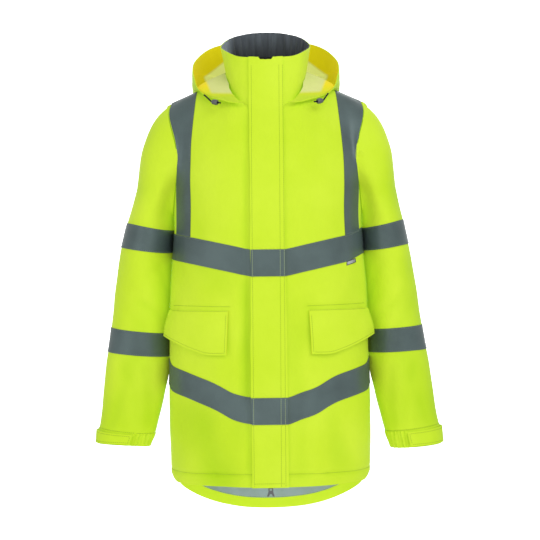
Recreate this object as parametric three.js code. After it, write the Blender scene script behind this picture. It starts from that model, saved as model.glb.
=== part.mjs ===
// Hi-vis work jacket, filled out as if worn with nobody inside it.
// Millimetres, +Z up, the front faces -Y and +X is the wearer's left.
// The origin lies midway between the shoulders, at the height where they carry the jacket.
// The jacket is symmetric apart from its storm flap and label, so most pieces are worked out for the
// wearer's left half and mirrored.
import * as THREE from "three";

const CLOTH = 1.6; // shell cloth with its wadding
const SEAM_GAP = 0.3; // between two pieces at a seam
const TAPE_THICKNESS = 1.0; // reflective tape
const SHOULDER_TAPE_STAND = 0.7;
const ROUNDNESS = 2.3; // exponent of the torso's sections: 2 is an ellipse
const COLLAR_ROUNDNESS = 2.2;
const ARMHOLE_COLUMN = 9; // the front column that runs up the armhole's edge
const BACK_ARMHOLE_COLUMN = 8;
const BRACE_COLUMN = 7; // the front column under the shoulder tape's inner edge
const BACK_BRACE_COLUMN = 6;
const ARMPIT_ROW = 13;
const YOKE_ROWS = 7; // rows from the armpit to the shoulder seam
const TOP_ROW = ARMPIT_ROW + YOKE_ROWS;

// Torso sections from the hem up. w is the half width, front and back the depths from the side seam,
// and the heights are those at the centre front, the armhole line, the side seam and the centre back.
const SECTIONS = [
  { name: "hem", w: 200, front: 142, back: 125, zFront: -765, zArm: -764, zSide: -762, zBack: -851 },
  { name: "hem seam", w: 200.5, front: 142.5, back: 125, zFront: -740, zArm: -739, zSide: -738, zBack: -829 },
  { name: "skirt low", w: 201.5, front: 143.5, back: 124, zFront: -702, zArm: -684, zSide: -680, zBack: -762 },
  { name: "skirt high", w: 201.5, front: 144.5, back: 122, zFront: -672, zArm: -636, zSide: -628, zBack: -672 },
  { name: "hip tape low", w: 201, front: 145.5, back: 120, zFront: -644, zArm: -592, zSide: -580, zBack: -590 },
  { name: "hip tape high", w: 200, front: 147, back: 118, zFront: -593, zArm: -541, zSide: -529, zBack: -540 },
  { name: "pocket", w: 199.5, front: 148.5, back: 116, zFront: -515, zArm: -484, zSide: -476, zBack: -484 },
  { name: "flap seam", w: 198, front: 150, back: 114.5, zFront: -429, zArm: -427, zSide: -425, zBack: -430 },
  { name: "waist", w: 195.5, front: 150.5, back: 114.5, zFront: -393, zArm: -377, zSide: -374, zBack: -377 },
  { name: "chest tape low", w: 191.5, front: 150.5, back: 116.5, zFront: -362, zArm: -329, zSide: -326, zBack: -327 },
  { name: "chest tape high", w: 189, front: 150, back: 119, zFront: -311, zArm: -278, zSide: -275, zBack: -276 },
  { name: "breast", w: 188, front: 149.5, back: 120.5, zFront: -280, zArm: -252, zSide: -263, zBack: -255 },
  { name: "below armpit", w: 188, front: 148.5, back: 121.5, zFront: -243, zArm: -217, zSide: -251, zBack: -224 },
  { name: "armpit", w: 189, front: 146, back: 122, zFront: -200, zArm: -180, zSide: -239, zBack: -186 },
];
const HIP_TAPE_ROW = 4;
const CHEST_TAPE_ROW = 9;
const WAIST_ROW = 8;

// Columns, as their distance from the centre where the half width is 189. The last three go round the underarm.
const ARMPIT_HALF_WIDTH = 189;
const FRONT_COLUMNS = [4, 18, 32.5, 55, 78, 102, 126, 150, 166, 180, 184.8, 187.9, 189];
const BACK_COLUMNS = [0, 24, 47, 68, 98, 126, 150, 166, 180, 184.8, 187.9, 189];
const PLACKET_COLUMN = 2; // the front column under the storm flap's edge

// Where each column above the armpit ends: on the neckline up to the side neck, then along the shoulder seam.
const SIDE_NECK = { x: 79, y: 2, z: 37 };
const SHOULDER_TIP = { x: 190, y: 4, z: -12 };
const SHOULDER_SEAM_X = [79, 108, 138, 163, 190];
const FRONT_NECKLINE = [
  { x: 4, y: -100, z: -37 },
  { x: 18, y: -99, z: -36 },
  { x: 32.5, y: -95, z: -32 },
  { x: 52, y: -83, z: -20 },
  { x: 68, y: -58, z: 2 },
];
const BACK_NECKLINE = [
  { x: 0, y: 68, z: 50 },
  { x: 24, y: 66, z: 49.5 },
  { x: 46, y: 56, z: 47.5 },
  { x: 65, y: 36, z: 43.5 },
];
// The armhole's edge from above the underarm to the shoulder tip, a row for each row of the yoke.
const FRONT_ARMHOLE = [
  { x: 176.5, y: -71, z: -148 },
  { x: 176, y: -71, z: -116 },
  { x: 181, y: -63, z: -88 },
  { x: 188, y: -51, z: -64 },
  { x: 193, y: -34, z: -43 },
  { x: 193.5, y: -15, z: -26 },
];
const BACK_ARMHOLE = [
  { x: 177.5, y: 64, z: -148 },
  { x: 177, y: 65, z: -116 },
  { x: 180, y: 60, z: -88 },
  { x: 185.5, y: 50, z: -64 },
  { x: 190, y: 37, z: -43 },
  { x: 192, y: 21, z: -26 },
];

// Sleeve sections below the cap. Each is a ring through its outermost and innermost points,
// with a half depth, a middle in y, and how far its front hangs below its middle.
const SLEEVE_SECTIONS = [
  { name: "biceps", xOut: 273, zOut: -216, xIn: 190.8, zIn: -262, depth: 82, y: 16, sag: 5 },
  { name: "upper tape top", xOut: 280, zOut: -252, xIn: 191.4, zIn: -277, depth: 82, y: 17, sag: 4 },
  { name: "upper tape low", xOut: 290.5, zOut: -301, xIn: 193.4, zIn: -322, depth: 80, y: 18, sag: 4 },
  { name: "above elbow", xOut: 299, zOut: -356, xIn: 196.4, zIn: -371, depth: 77, y: 18, sag: 3 },
  { name: "elbow", xOut: 308, zOut: -412, xIn: 199.2, zIn: -424, depth: 74, y: 16, sag: 2 },
  { name: "lower tape top", xOut: 316, zOut: -464, xIn: 201.8, zIn: -474, depth: 71, y: 12, sag: 1 },
  { name: "lower tape low", xOut: 323, zOut: -513, xIn: 202.6, zIn: -521, depth: 67, y: 6, sag: 0 },
  { name: "forearm", xOut: 330, zOut: -561, xIn: 205, zIn: -566, depth: 62.5, y: 0, sag: 0 },
  { name: "low forearm", xOut: 337, zOut: -612, xIn: 217, zIn: -623, depth: 56, y: -8, sag: 0 },
  { name: "cuff seam", xOut: 344, zOut: -660, xIn: 230, zIn: -673, depth: 50, y: -16, sag: 0 },
];
const CAP_RINGS = 5; // rings between the armhole and the biceps
const CUFF_SECTIONS = [
  { name: "cuff top", xOut: 344, zOut: -660, xIn: 230, zIn: -673, depth: 50, y: -16, sag: 0 },
  { name: "cuff upper", xOut: 345.5, zOut: -670, xIn: 232.5, zIn: -682, depth: 48.5, y: -17, sag: 0 },
  { name: "cuff lower", xOut: 346.5, zOut: -683, xIn: 237, zIn: -692, depth: 48, y: -18, sag: 0 },
  { name: "cuff edge", xOut: 347, zOut: -693, xIn: 241, zIn: -701, depth: 48.5, y: -19, sag: 0 },
];
const CUFF_POINTS = 40;
const GATHER_DEPTH = 2.2;
const TAB = { from: 82, to: 236, stand: 0.8, thickness: 2.2, top: 0.14, bottom: 0.94 }; // degrees, from the inner side

// The collar's upper edge, a row for each column of the neckline.
const COLLAR_TOP = { halfWidth: 91, front: 88, back: 78 };
const COLLAR_TOP_FRONT = [
  { x: 4, z: 65 },
  { x: 18, z: 65 },
  { x: 32.5, z: 66 },
  { x: 56, z: 70 },
  { x: 77, z: 82 },
  { x: 91, z: 101 },
];
const COLLAR_TOP_BACK = [
  { x: 76, z: 124 },
  { x: 52, z: 134.5 },
  { x: 27, z: 140 },
  { x: 0, z: 141.5 },
];
const COLLAR_ROWS = 4;
const LINING = 1.4;
const RIB_DEPTH = 0.8; // the gathers of the collar's lining

// The folded-back hood. Each station is a profile: from its seam on the collar, given as a column of the collar,
// along the layer that lies on the shoulders, round the fold at the bottom and up to the edge of the face opening.
const HOOD_STATIONS = [
  { seam: 4.8, lie: [44, -99.5, -27], fold: [49, -101, -29], out: [54, -101, -27.5], rim: [57, -101, -24] },
  { seam: 7.8, lie: [76, -73, -8], fold: [80, -80, -17], out: [84, -84, -19.5], rim: [87, -86, -17] },
  { seam: 9, lie: [95, -42, 14], fold: [108, -52, 0], out: [116, -58, -7], rim: [122, -61, -5] },
  { seam: 9.6, lie: [106, -16, 29], fold: [128, -26, 17], out: [139, -32, 9], rim: [142, -34, 13] },
  { seam: 10.2, lie: [112, 6, 33], fold: [138, 6, 20], out: [152, 2, 14], rim: [150, -6, 38] },
  { seam: 11.6, lie: [112, 46, 29], fold: [146, 58, -2], out: [157, 52, 28], rim: [148, 32, 72] },
  { seam: 13.4, lie: [86, 94, 12], fold: [130, 116, -100], out: [144, 126, -4], rim: [116, 79, 110] },
  { seam: 15.6, lie: [42, 119, -14], fold: [76, 146, -168], out: [78, 168, -32], rim: [60, 103, 127] },
  { seam: 18, lie: [0, 124, -22], fold: [0, 153, -184], out: [0, 181, -38], rim: [0, 110, 130] },
];
const HOOD_SEAM = { up: 0.5, off: 1.25 }; // above the neck seam, in collar rows, and off the collar's face
const HOOD_STEPS = 2; // columns for each station
const HOOD_ROWS = 8;
const HOOD_LINING_ROW = 6; // where the lining meets the facing at the sides
const HOOD_LINING_BACK_ROW = 7; // and at the back, this many columns each side of the middle
const HOOD_LINING_BACK_COLUMNS = 6;
const HOOD_LINING_GAP = 0.5;

const PLACKET = { stand: 2.0, thickness: 1.8 }; // the storm flap down the front
const COLLAR_NOTCH = 5; // how far the storm flap's top dips over the zip
const ZIP = { halfWidth: 3.6, sunk: 0.1, thickness: 1.8 }; // it lies between the fronts' edges
const ZIP_PULL = {
  // a plate with a slot near its top, which spreads into two feet
  half: 4.6, footOut: 7.4, footIn: 4, crotch: 1.5, slot: 2,
  top: -750, slotTop: -767, slotBottom: -770.5, waist: -772.5, crotchTop: -777, bottom: -781.5,
  y: -142.75, thickness: 1.2,
};
const FLAP = { inner: 0.39, outer: 0.978, stand: 1.6, thickness: 1.8, columns: 8, rows: 4 };
const FLAP_TOP_Z = -426.5;
const FLAP_EDGE = [
  // lower edge of the pocket flap, along its width from the front end
  { along: 0, z: -511, lift: 4.5 },
  { along: 0.22, z: -512, lift: 5 },
  { along: 0.55, z: -500, lift: 5.5 },
  { along: 0.8, z: -488, lift: 8 },
  { along: 1, z: -478, lift: 11 },
];
const LABEL = { from: 0.02, to: 0.98, drop: 11, thickness: 0.8 };
const TOGGLE = { x: 103.25, y: -89.75, z: -19.05, radius: 5.2, length: 13, bore: 2.3 };
const CORD_RADIUS = 1.3;
const CORD_ROUTE = [
  // from the eyelet in the hood's edge through the toggle to the free end
  [121.8, -63.2, -4.4], [119, -69.5, -7], [114.5, -79, -12.3], [109.5, -86, -17.5], [103.25, -89.75, -19.05],
  [97, -93.5, -20.6], [91.5, -96, -21.2],
];

const YELLOW = { color: 0xcdf03c, roughness: 0.62, metalness: 0 };
const SILVER = { color: 0x5b6b6b, roughness: 0.4, metalness: 0.1 };
const GREY_LINING = { color: 0x5d6166, roughness: 0.9, metalness: 0 };
const PALE_LINING = { color: 0xe6e6bf, roughness: 0.85, metalness: 0 };
const BLACK = { color: 0x15161a, roughness: 0.6, metalness: 0 };
const DARK_GREY = { color: 0x4d4f52, roughness: 0.45, metalness: 0 };

const vector = (p) => (Array.isArray(p) ? new THREE.Vector3(...p) : new THREE.Vector3(p.x, p.y, p.z));
const lerp = (a, b, t) => a + (b - a) * t;
const clamp01 = (t) => Math.min(1, Math.max(0, t));
const range = (n) => Array.from({ length: n }, (_, i) => i);
const key = (p) => `${Math.round(p.x * 50)},${Math.round(p.y * 50)},${Math.round(p.z * 50)}`;

// Value at t of a smooth line through evenly spaced knots.
function through(knots, t) {
  const last = knots.length - 1;
  const i = Math.min(last - 1, Math.max(0, Math.floor(t)));
  const f = t - i;
  const [a, b, c, d] = [knots[Math.max(0, i - 1)], knots[i], knots[i + 1], knots[Math.min(last, i + 2)]];
  return b + 0.5 * f * (c - a + f * (2 * a - 5 * b + 4 * c - d + f * (3 * (b - c) + d - a)));
}

function pointThrough(points, t) {
  return new THREE.Vector3(...[0, 1, 2].map((k) => through(points.map((p) => p.getComponent(k)), t)));
}

// Piecewise linear value of a named column in a table sorted by another column.
function lookUp(table, by, at, column) {
  const i = Math.min(table.length - 2, Math.max(0, table.findIndex((row) => row[by] >= at) - 1));
  const [a, b] = [table[i], table[i + 1]];
  return lerp(a[column], b[column], clamp01((at - a[by]) / (b[by] - a[by])));
}

// Cloth is a grid of nodes {p, n}: a point on its outer face and the way out. A node is null where there is no cloth.
const toGrid = (rows) => rows.map((row) => row.map((p) => p && { p, n: new THREE.Vector3() }));
const mirrored = (grid) => grid.map((row) => row.map((node) => node && { p: flipX(node.p), n: flipX(node.n) }));
const flipX = (v) => new THREE.Vector3(-v.x, v.y, v.z);
const moved = (grid, x, y, z) =>
  grid.map((row) => row.map((node) => node && { p: node.p.clone().add(new THREE.Vector3(x, y, z)), n: node.n }));
const window2d = (grid, r0, r1, c0, c1) => grid.slice(r0, r1 + 1).map((row) => row.slice(c0, c1 + 1));

function eachCell(grid, loop, visit) {
  for (let r = 0; r + 1 < grid.length; r += 1) {
    const columns = grid[r].length;
    for (let c = 0; c < (loop ? columns : columns - 1); c += 1) {
      const d = (c + 1) % columns;
      const corners = [[r, c], [r, d], [r + 1, d], [r + 1, c]];
      if (corners.every(([i, j]) => grid[i][j])) visit(corners);
    }
  }
}

// Gives every node of several grids its normal, shared where grids meet at a seam.
function weldNormals(grids) {
  const sums = new Map();
  for (const { grid, loop, outward } of grids)
    eachCell(grid, loop, (corners) => {
      const [a, b, c, d] = corners.map(([r, k]) => grid[r][k].p);
      const n = c.clone().sub(a).cross(d.clone().sub(b));
      if (n.lengthSq() < 1e-9) return;
      n.normalize().multiplyScalar(outward);
      for (const p of [a, b, c, d]) sums.set(key(p), (sums.get(key(p)) ?? new THREE.Vector3()).clone().add(n));
    });
  for (const { grid } of grids)
    for (const row of grid)
      for (const node of row) {
        if (!node) continue;
        node.n.copy(sums.get(key(node.p)) ?? node.n);
        if (Math.abs(node.p.x) < 1e-6) node.n.x = 0;
        node.n.normalize();
      }
}

// A closed wall between two offsets from the grid's points. An offset is a number or a function of row and column.
function wall(grid, outer, inner, loop = false) {
  const positions = [];
  const index = [];
  const at = new Map();
  const offset = (o, r, c) => (typeof o === "function" ? o(r, c) : o);
  grid.forEach((row, r) =>
    row.forEach((node, c) => {
      if (!node) return;
      at.set(`${r},${c}`, positions.length / 3);
      for (const o of [offset(outer, r, c), offset(inner, r, c)])
        positions.push(...node.p.clone().addScaledVector(node.n, o).toArray());
    }),
  );
  const edges = new Map();
  const face = (a, b, c) => index.push(a, b, c);
  eachCell(grid, loop, (corners) => {
    const nodes = corners.map(([r, c]) => grid[r][c]);
    const [a, b, c, d] = nodes.map((node) => node.p);
    const out = nodes.reduce((sum, node) => sum.add(node.n), new THREE.Vector3());
    let ids = corners.map(([r, k]) => at.get(`${r},${k}`));
    let alongAC = a.clone().add(c).sub(b).sub(d).dot(out) >= 0;
    if (c.clone().sub(a).cross(d.clone().sub(b)).dot(out) < 0) ids = [ids[0], ids[3], ids[2], ids[1]];
    const [i, j, k, l] = alongAC ? ids : [ids[1], ids[2], ids[3], ids[0]];
    face(i, j, k);
    face(i, k, l);
    face(i + 1, k + 1, j + 1);
    face(i + 1, l + 1, k + 1);
    ids.forEach((from, n) => edges.set(`${from},${ids[(n + 1) % 4]}`, [from, ids[(n + 1) % 4]]));
  });
  for (const [from, to] of edges.values())
    if (!edges.has(`${to},${from}`)) {
      face(to, from, from + 1);
      face(to, from + 1, to + 1);
    }
  return new THREE.BufferGeometry()
    .setAttribute("position", new THREE.Float32BufferAttribute(positions, 3))
    .setIndex(index);
}

// The torso's lower part: sections cut into columns.
function torsoRow(section, columns, isFront) {
  const placketShare = FRONT_COLUMNS[PLACKET_COLUMN] / ARMPIT_HALF_WIDTH;
  const armShare = FRONT_COLUMNS[ARMHOLE_COLUMN] / ARMPIT_HALF_WIDTH;
  return columns.map((column) => {
    const s = column / ARMPIT_HALF_WIDTH;
    const bow = Math.max(0, 1 - s ** ROUNDNESS) ** (1 / ROUNDNESS);
    const towardsSide = clamp01((s - armShare) / (1 - armShare)) ** 0.7;
    const dropped = section.zBack < section.zSide - 15;
    let z;
    if (isFront) {
      const towardsArm = clamp01((s - placketShare) / (armShare - placketShare));
      z = lerp(lerp(section.zFront, section.zArm, towardsArm), section.zSide, towardsSide);
    } else if (dropped) {
      z = lerp(section.zSide, section.zBack, bow ** 1.5);
    } else {
      const centre = 1 - clamp01(s / armShare) ** 2;
      const edge = section.name.includes("arm") || section.name === "breast" ? section.zArm : section.zSide;
      z = lerp(lerp(edge, section.zBack, centre), section.zSide, towardsSide);
    }
    return new THREE.Vector3(section.w * s, (isFront ? -section.front : section.back) * bow, z);
  });
}

function hermite(a, ta, b, tb, t) {
  const [t2, t3] = [t * t, t * t * t];
  return a.clone().multiplyScalar(2 * t3 - 3 * t2 + 1).addScaledVector(ta, t3 - 2 * t2 + t)
    .addScaledVector(b, 3 * t2 - 2 * t3).addScaledVector(tb, t3 - t2);
}

// The torso's upper part: each column curves from the armpit row to the neckline or the shoulder seam.
function yokeRows(armpitRow, neckline, armhole, armholeColumn, backwards) {
  const [neck, tip] = [vector(SIDE_NECK), vector(SHOULDER_TIP)];
  const seam = SHOULDER_SEAM_X.map((x) => neck.clone().lerp(tip, (x - neck.x) / (tip.x - neck.x)));
  const top = [...neckline.map(vector), ...seam];
  return range(YOKE_ROWS).map((row) => {
    const t = (row + 1) / YOKE_ROWS;
    return armpitRow.map((start, c) => {
      if (c > armholeColumn) return null;
      if (c === armholeColumn && row + 1 < YOKE_ROWS) return vector(armhole[row]);
      const end = top[c];
      const reach = start.distanceTo(end);
      const overShoulder = clamp01(c / neckline.length) ** 2;
      const leave = new THREE.Vector3(0, 0, 0.9 * reach);
      const arrive = new THREE.Vector3(0, backwards * lerp(0.4, 0.68, overShoulder), lerp(0.8, 0, overShoulder));
      return hermite(start, leave, end, arrive.multiplyScalar(reach), t);
    });
  });
}

function torsoHalf(columns, neckline, armhole, armholeColumn, isFront) {
  const rows = SECTIONS.map((section) => torsoRow(section, columns, isFront));
  return toGrid([...rows, ...yokeRows(rows[ARMPIT_ROW], neckline, armhole, armholeColumn, isFront ? 1 : -1)]);
}

// Points round the left armhole, from the underarm up the front to the shoulder tip and down the back.
function armholeLoop(front, back) {
  const last = FRONT_COLUMNS.length - 1;
  const lastBack = BACK_COLUMNS.length - 1;
  return [
    ...range(last - ARMHOLE_COLUMN).map((i) => front[ARMPIT_ROW][last - i]),
    ...range(YOKE_ROWS).map((i) => front[ARMPIT_ROW + i][ARMHOLE_COLUMN]),
    ...range(YOKE_ROWS).map((i) => back[TOP_ROW - i][BACK_ARMHOLE_COLUMN]),
    ...range(lastBack - BACK_ARMHOLE_COLUMN).map((i) => back[ARMPIT_ROW][BACK_ARMHOLE_COLUMN + i]),
  ].map((node) => node.p);
}

// Angle round the sleeve for each point of the loop: 0 at the inner side, 90 at the front, 180 outermost.
function loopAngles(loop) {
  const lengths = loop.map((p, i) => p.distanceTo(loop[(i + 1) % loop.length]));
  const half = loop.length / 2;
  const share = (from, i) => {
    const part = lengths.slice(from, from + half);
    return part.slice(0, i).reduce((a, b) => a + b, 0) / part.reduce((a, b) => a + b, 0);
  };
  return loop.map((_, i) => (i < half ? Math.PI * share(0, i) : Math.PI * (1 + share(half, i - half))));
}

function sleevePoint(section, angle) {
  const out = new THREE.Vector3(section.xOut, section.y, section.zOut);
  const inside = new THREE.Vector3(section.xIn, section.y, section.zIn);
  const point = inside.lerp(out, (1 - Math.cos(angle)) / 2);
  point.y -= section.depth * Math.sin(angle);
  point.z -= section.sag * Math.sin(angle);
  return point;
}

// The sleeve: a cap that leaves the armhole and bends down, then the sections.
function sleeveRows(loop) {
  const angles = loopAngles(loop);
  const biceps = angles.map((angle) => sleevePoint(SLEEVE_SECTIONS[0], angle));
  const next = angles.map((angle) => sleevePoint(SLEEVE_SECTIONS[1], angle));
  const cap = range(CAP_RINGS + 1).map((ring) =>
    loop.map((start, i) => {
      const t = ring / (CAP_RINGS + 1);
      const reach = start.distanceTo(biceps[i]);
      const leave = new THREE.Vector3(0.87, 0, -0.49).multiplyScalar(0.95 * reach);
      const arrive = next[i].clone().sub(biceps[i]).normalize().multiplyScalar(1.1 * reach);
      return hermite(start, leave, biceps[i], arrive, t);
    }),
  );
  return toGrid([...cap, ...SLEEVE_SECTIONS.map((section) => angles.map((angle) => sleevePoint(section, angle)))]);
}

// A seam's gap: moves the first row of a grid away from the seam, square to its edge.
function openSeam(grid, gap, loop) {
  const columns = grid[0].length;
  const edge = grid[0].map((node, c) => {
    const before = grid[0][loop ? (c + columns - 1) % columns : Math.max(0, c - 1)].p;
    const after = grid[0][loop ? (c + 1) % columns : Math.min(columns - 1, c + 1)].p;
    const away = after.clone().sub(before).cross(node.n).normalize();
    if (away.dot(grid[1][c].p.clone().sub(node.p)) < 0) away.negate();
    return { p: node.p.clone().addScaledVector(away, gap), n: node.n };
  });
  return [edge, ...grid.slice(1)];
}

// The neckline's left half, from the centre front round to the centre back.
function necklineHalf(front, back) {
  const frontPart = range(FRONT_NECKLINE.length + 1).map((c) => front[TOP_ROW][c].p);
  const backPart = range(BACK_NECKLINE.length).map((c) => back[TOP_ROW][BACK_NECKLINE.length - 1 - c].p);
  return [...frontPart, ...backPart];
}

function collarHalf(neckline) {
  const bow = (x) => Math.max(0, 1 - (x / COLLAR_TOP.halfWidth) ** COLLAR_ROUNDNESS) ** (1 / COLLAR_ROUNDNESS);
  const top = [
    ...COLLAR_TOP_FRONT.map(({ x, z }) => new THREE.Vector3(x, -COLLAR_TOP.front * bow(x) + 2, z)),
    ...COLLAR_TOP_BACK.map(({ x, z }) => new THREE.Vector3(x, COLLAR_TOP.back * bow(x) + 2, z)),
  ];
  const halves = 2 * (neckline.length - 1) + 1;
  const base = range(halves).map((i) =>
    neckline[Math.floor(i / 2)].clone().lerp(neckline[Math.ceil(i / 2)], 0.5));
  return toGrid(range(COLLAR_ROWS + 1).map((row) => {
    const t = row / COLLAR_ROWS;
    return range(halves).map((i) => {
      if (row === 0) return base[i];
      return pointThrough(neckline, i / 2).lerp(pointThrough(top, i / 2), t);
    });
  }));
}

// Joins a left half that ends at the centre back to its mirror image, from the wearer's right to the left.
function aroundBack(half) {
  return half.map((row, r) => [...mirrored([row])[0], ...half[r].slice(0, -1).reverse()]);
}

// Joins a left half that starts at the centre to its mirror image.
function acrossCentre(half) {
  return half.map((row) => [...mirrored([row.slice(1)])[0].reverse(), ...row]);
}

function hoodGrid() {
  const onCollar = (column) => {
    const c = Math.min(collar[0].length - 2, Math.floor(column));
    const [a, b] = [0, 1].map((k) => collar[0][c + k].p.clone().lerp(collar[1][c + k].p, HOOD_SEAM.up));
    const n = collar[0][c].n.clone().lerp(collar[0][c + 1].n, column - c);
    return a.lerp(b, column - c).addScaledVector(n, HOOD_SEAM.off);
  };
  const named = ["lie", "fold", "out", "rim"];
  const half = HOOD_STATIONS.map((station) => named.map((name) => vector(station[name])));
  const stations = [...half, ...half.slice(0, -1).reverse().map((points) => points.map(flipX))];
  const last = half.length - 1;
  const columns = 2 * last * HOOD_STEPS + 1;
  const profiles = range(columns).map((c) => {
    const u = c / HOOD_STEPS;
    const seam = onCollar(through(HOOD_STATIONS.map((station) => station.seam), Math.min(u, 2 * last - u)));
    return [u > last ? flipX(seam) : seam, ...named.map((_, k) => pointThrough(stations.map((s) => s[k]), u))];
  });
  return toGrid(range(HOOD_ROWS + 1).map((row) =>
    profiles.map((profile) => pointThrough(profile, (row / HOOD_ROWS) * (profile.length - 1)))));
}

function cuffGrid(sleeve) {
  const seam = sleeve[sleeve.length - 1];
  const angles = range(CUFF_POINTS).map((i) => (i / CUFF_POINTS) * 2 * Math.PI);
  const sleeveAngles = loopAngles(armhole);
  const onSeam = (angle) => {
    const i = Math.max(0, sleeveAngles.findLastIndex((a) => a <= angle + 1e-9));
    const next = (i + 1) % seam.length;
    const end = next ? sleeveAngles[next] : 2 * Math.PI;
    return seam[i].p.clone().lerp(seam[next].p, (angle - sleeveAngles[i]) / (end - sleeveAngles[i]));
  };
  return toGrid(CUFF_SECTIONS.map((section, row) => angles.map((angle, i) => {
    if (row === 0) return onSeam(angle);
    const gathered = clamp01(1.6 * (Math.cos(angle) + 0.35));
    const wave = (i % 2 ? 1 : -1) * GATHER_DEPTH * gathered * (row / (CUFF_SECTIONS.length - 1)) ** 0.5;
    const shrunk = { ...section, depth: section.depth + wave };
    const point = sleevePoint(shrunk, angle);
    point.x -= wave * Math.cos(angle);
    return point;
  })));
}

// The cuff's pull tab: a strip round the outer side, made from the cuff's points.
function tabGrid() {
  const points = 14;
  return toGrid(range(3).map((row) => range(points + 1).map((i) => {
    const angle = THREE.MathUtils.degToRad(lerp(TAB.from, TAB.to, i / points));
    const down = lerp(TAB.top, TAB.bottom, row / 2) * (CUFF_SECTIONS.length - 1);
    const k = Math.min(CUFF_SECTIONS.length - 2, Math.floor(down));
    return sleevePoint(CUFF_SECTIONS[k], angle).lerp(sleevePoint(CUFF_SECTIONS[k + 1], angle), down - k);
  })));
}

// A pocket flap: from its seam down to its slanted lower edge, standing further off towards the edge.
function flapGrid() {
  const sideways = (z, s) => {
    const rows = range(SECTIONS.length);
    const heights = rows.map((r) => torsoRow(SECTIONS[r], [s * ARMPIT_HALF_WIDTH], true)[0]);
    const i = Math.max(1, rows.findIndex((r) => heights[r].z >= z));
    return heights[i - 1].clone().lerp(heights[i], (z - heights[i - 1].z) / (heights[i].z - heights[i - 1].z));
  };
  return range(FLAP.rows + 1).map((row) => range(FLAP.columns + 1).map((c) => {
    const along = c / FLAP.columns;
    const down = row / FLAP.rows;
    const s = lerp(FLAP.inner, FLAP.outer, along ** 0.8) + 0.012 * down * (1 - along);
    const z = lerp(FLAP_TOP_Z, lookUp(FLAP_EDGE, "along", along, "z"), down);
    const p = sideways(z, s);
    const slope = sideways(z, Math.min(0.999, s + 0.01)).sub(sideways(z, s - 0.01));
    const n = new THREE.Vector3(-slope.y, slope.x, 0).normalize();
    if (n.y > 0) n.negate();
    const lift = FLAP.stand + lookUp(FLAP_EDGE, "along", along, "lift") * Math.sin((down * Math.PI) / 2);
    return { p: p.addScaledVector(n, lift), n };
  }));
}

function labelGrid(front) {
  const [low, high] = [WAIST_ROW, CHEST_TAPE_ROW];
  const across = (r, t) => {
    const [a, b] = [front[r][BRACE_COLUMN], front[r][BRACE_COLUMN + 1]];
    return { p: a.p.clone().lerp(b.p, t), n: a.n.clone().lerp(b.n, t).normalize() };
  };
  return [0, 1].map((row) => [LABEL.from, LABEL.to].map((t) => {
    const [top, bottom] = [across(high, t), across(low, t)];
    const share = (row ? LABEL.drop : 0.4) / top.p.distanceTo(bottom.p);
    return { p: top.p.lerp(bottom.p, share), n: top.n };
  }));
}

// A round cord along a route, with one end slightly inside each of its ends.
function cordGeometry() {
  const route = new THREE.CatmullRomCurve3(CORD_ROUTE.map(vector));
  const ring = new THREE.Shape().absarc(0, 0, CORD_RADIUS, 0, 2 * Math.PI);
  return new THREE.ExtrudeGeometry(ring, { steps: 14, extrudePath: route, curveSegments: 6, bevelEnabled: false });
}

// A cord lock: a barrel with a rounded end, bored along the cord.
function toggleGeometry() {
  const { radius, length, bore } = TOGGLE;
  const half = length / 2;
  const profile = [
    [bore, -half], [radius * 0.8, -half], [radius, -half + 2], [radius, half - 4], [radius * 0.72, half - 1],
    [radius * 0.55, half], [bore, half], [bore, -half],
  ].map(([r, y]) => new THREE.Vector2(r, y));
  const direction = vector(CORD_ROUTE[5]).sub(vector(CORD_ROUTE[3])).normalize();
  return new THREE.LatheGeometry(profile, 14)
    .applyQuaternion(new THREE.Quaternion().setFromUnitVectors(new THREE.Vector3(0, -1, 0), direction))
    .translate(TOGGLE.x, TOGGLE.y, TOGGLE.z);
}

// The zip's pull, hanging from between the fronts' edges.
function zipPullGeometry() {
  const { half, footOut, footIn, crotch, slot, top, waist, crotchTop, bottom, y, thickness } = ZIP_PULL;
  const right = [[half, top], [half, waist], [footOut, bottom], [footIn, bottom], [crotch, crotchTop]];
  const left = right.map(([x, z]) => [-x, z]).reverse();
  const outline = new THREE.Shape([...right, ...left].map(([x, z]) => new THREE.Vector2(x, z)));
  const { slotTop, slotBottom } = ZIP_PULL;
  outline.holes.push(new THREE.Path(
    [[-slot, slotTop], [-slot, slotBottom], [slot, slotBottom], [slot, slotTop]].map((p) => new THREE.Vector2(...p))));
  return new THREE.ExtrudeGeometry(outline, { depth: thickness, bevelEnabled: false })
    .rotateX(Math.PI / 2)
    .translate(0, y, 0);
}

const jacket = new THREE.Group();

function add(name, geometry, finish) {
  const mesh = new THREE.Mesh(geometry, new THREE.MeshStandardMaterial({ ...finish, side: THREE.DoubleSide }));
  mesh.name = name;
  jacket.add(mesh);
}

// Adds a piece made for the wearer's left, and its mirror image for the right.
function addPair(name, make, finish) {
  add(`${name}_left`, make((grid) => grid), finish);
  add(`${name}_right`, make(mirrored), finish);
}

const front = torsoHalf(FRONT_COLUMNS, FRONT_NECKLINE, FRONT_ARMHOLE, ARMHOLE_COLUMN, true);
const back = torsoHalf(BACK_COLUMNS, BACK_NECKLINE, BACK_ARMHOLE, BACK_ARMHOLE_COLUMN, false);
const armhole = armholeLoop(front, back);
const sleeve = sleeveRows(armhole);
const collar = collarHalf(necklineHalf(front, back));
weldNormals([
  { grid: front, outward: 1 },
  { grid: back, outward: -1 },
  { grid: sleeve, loop: true, outward: -1 },
  { grid: collar, outward: 1 },
]);
const hood = hoodGrid();
weldNormals([{ grid: hood, outward: 1 }]);
const cuff = cuffGrid(sleeve);
weldNormals([{ grid: cuff, loop: true, outward: -1 }]);
const tab = tabGrid();
weldNormals([{ grid: tab, outward: -1 }]);

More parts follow.
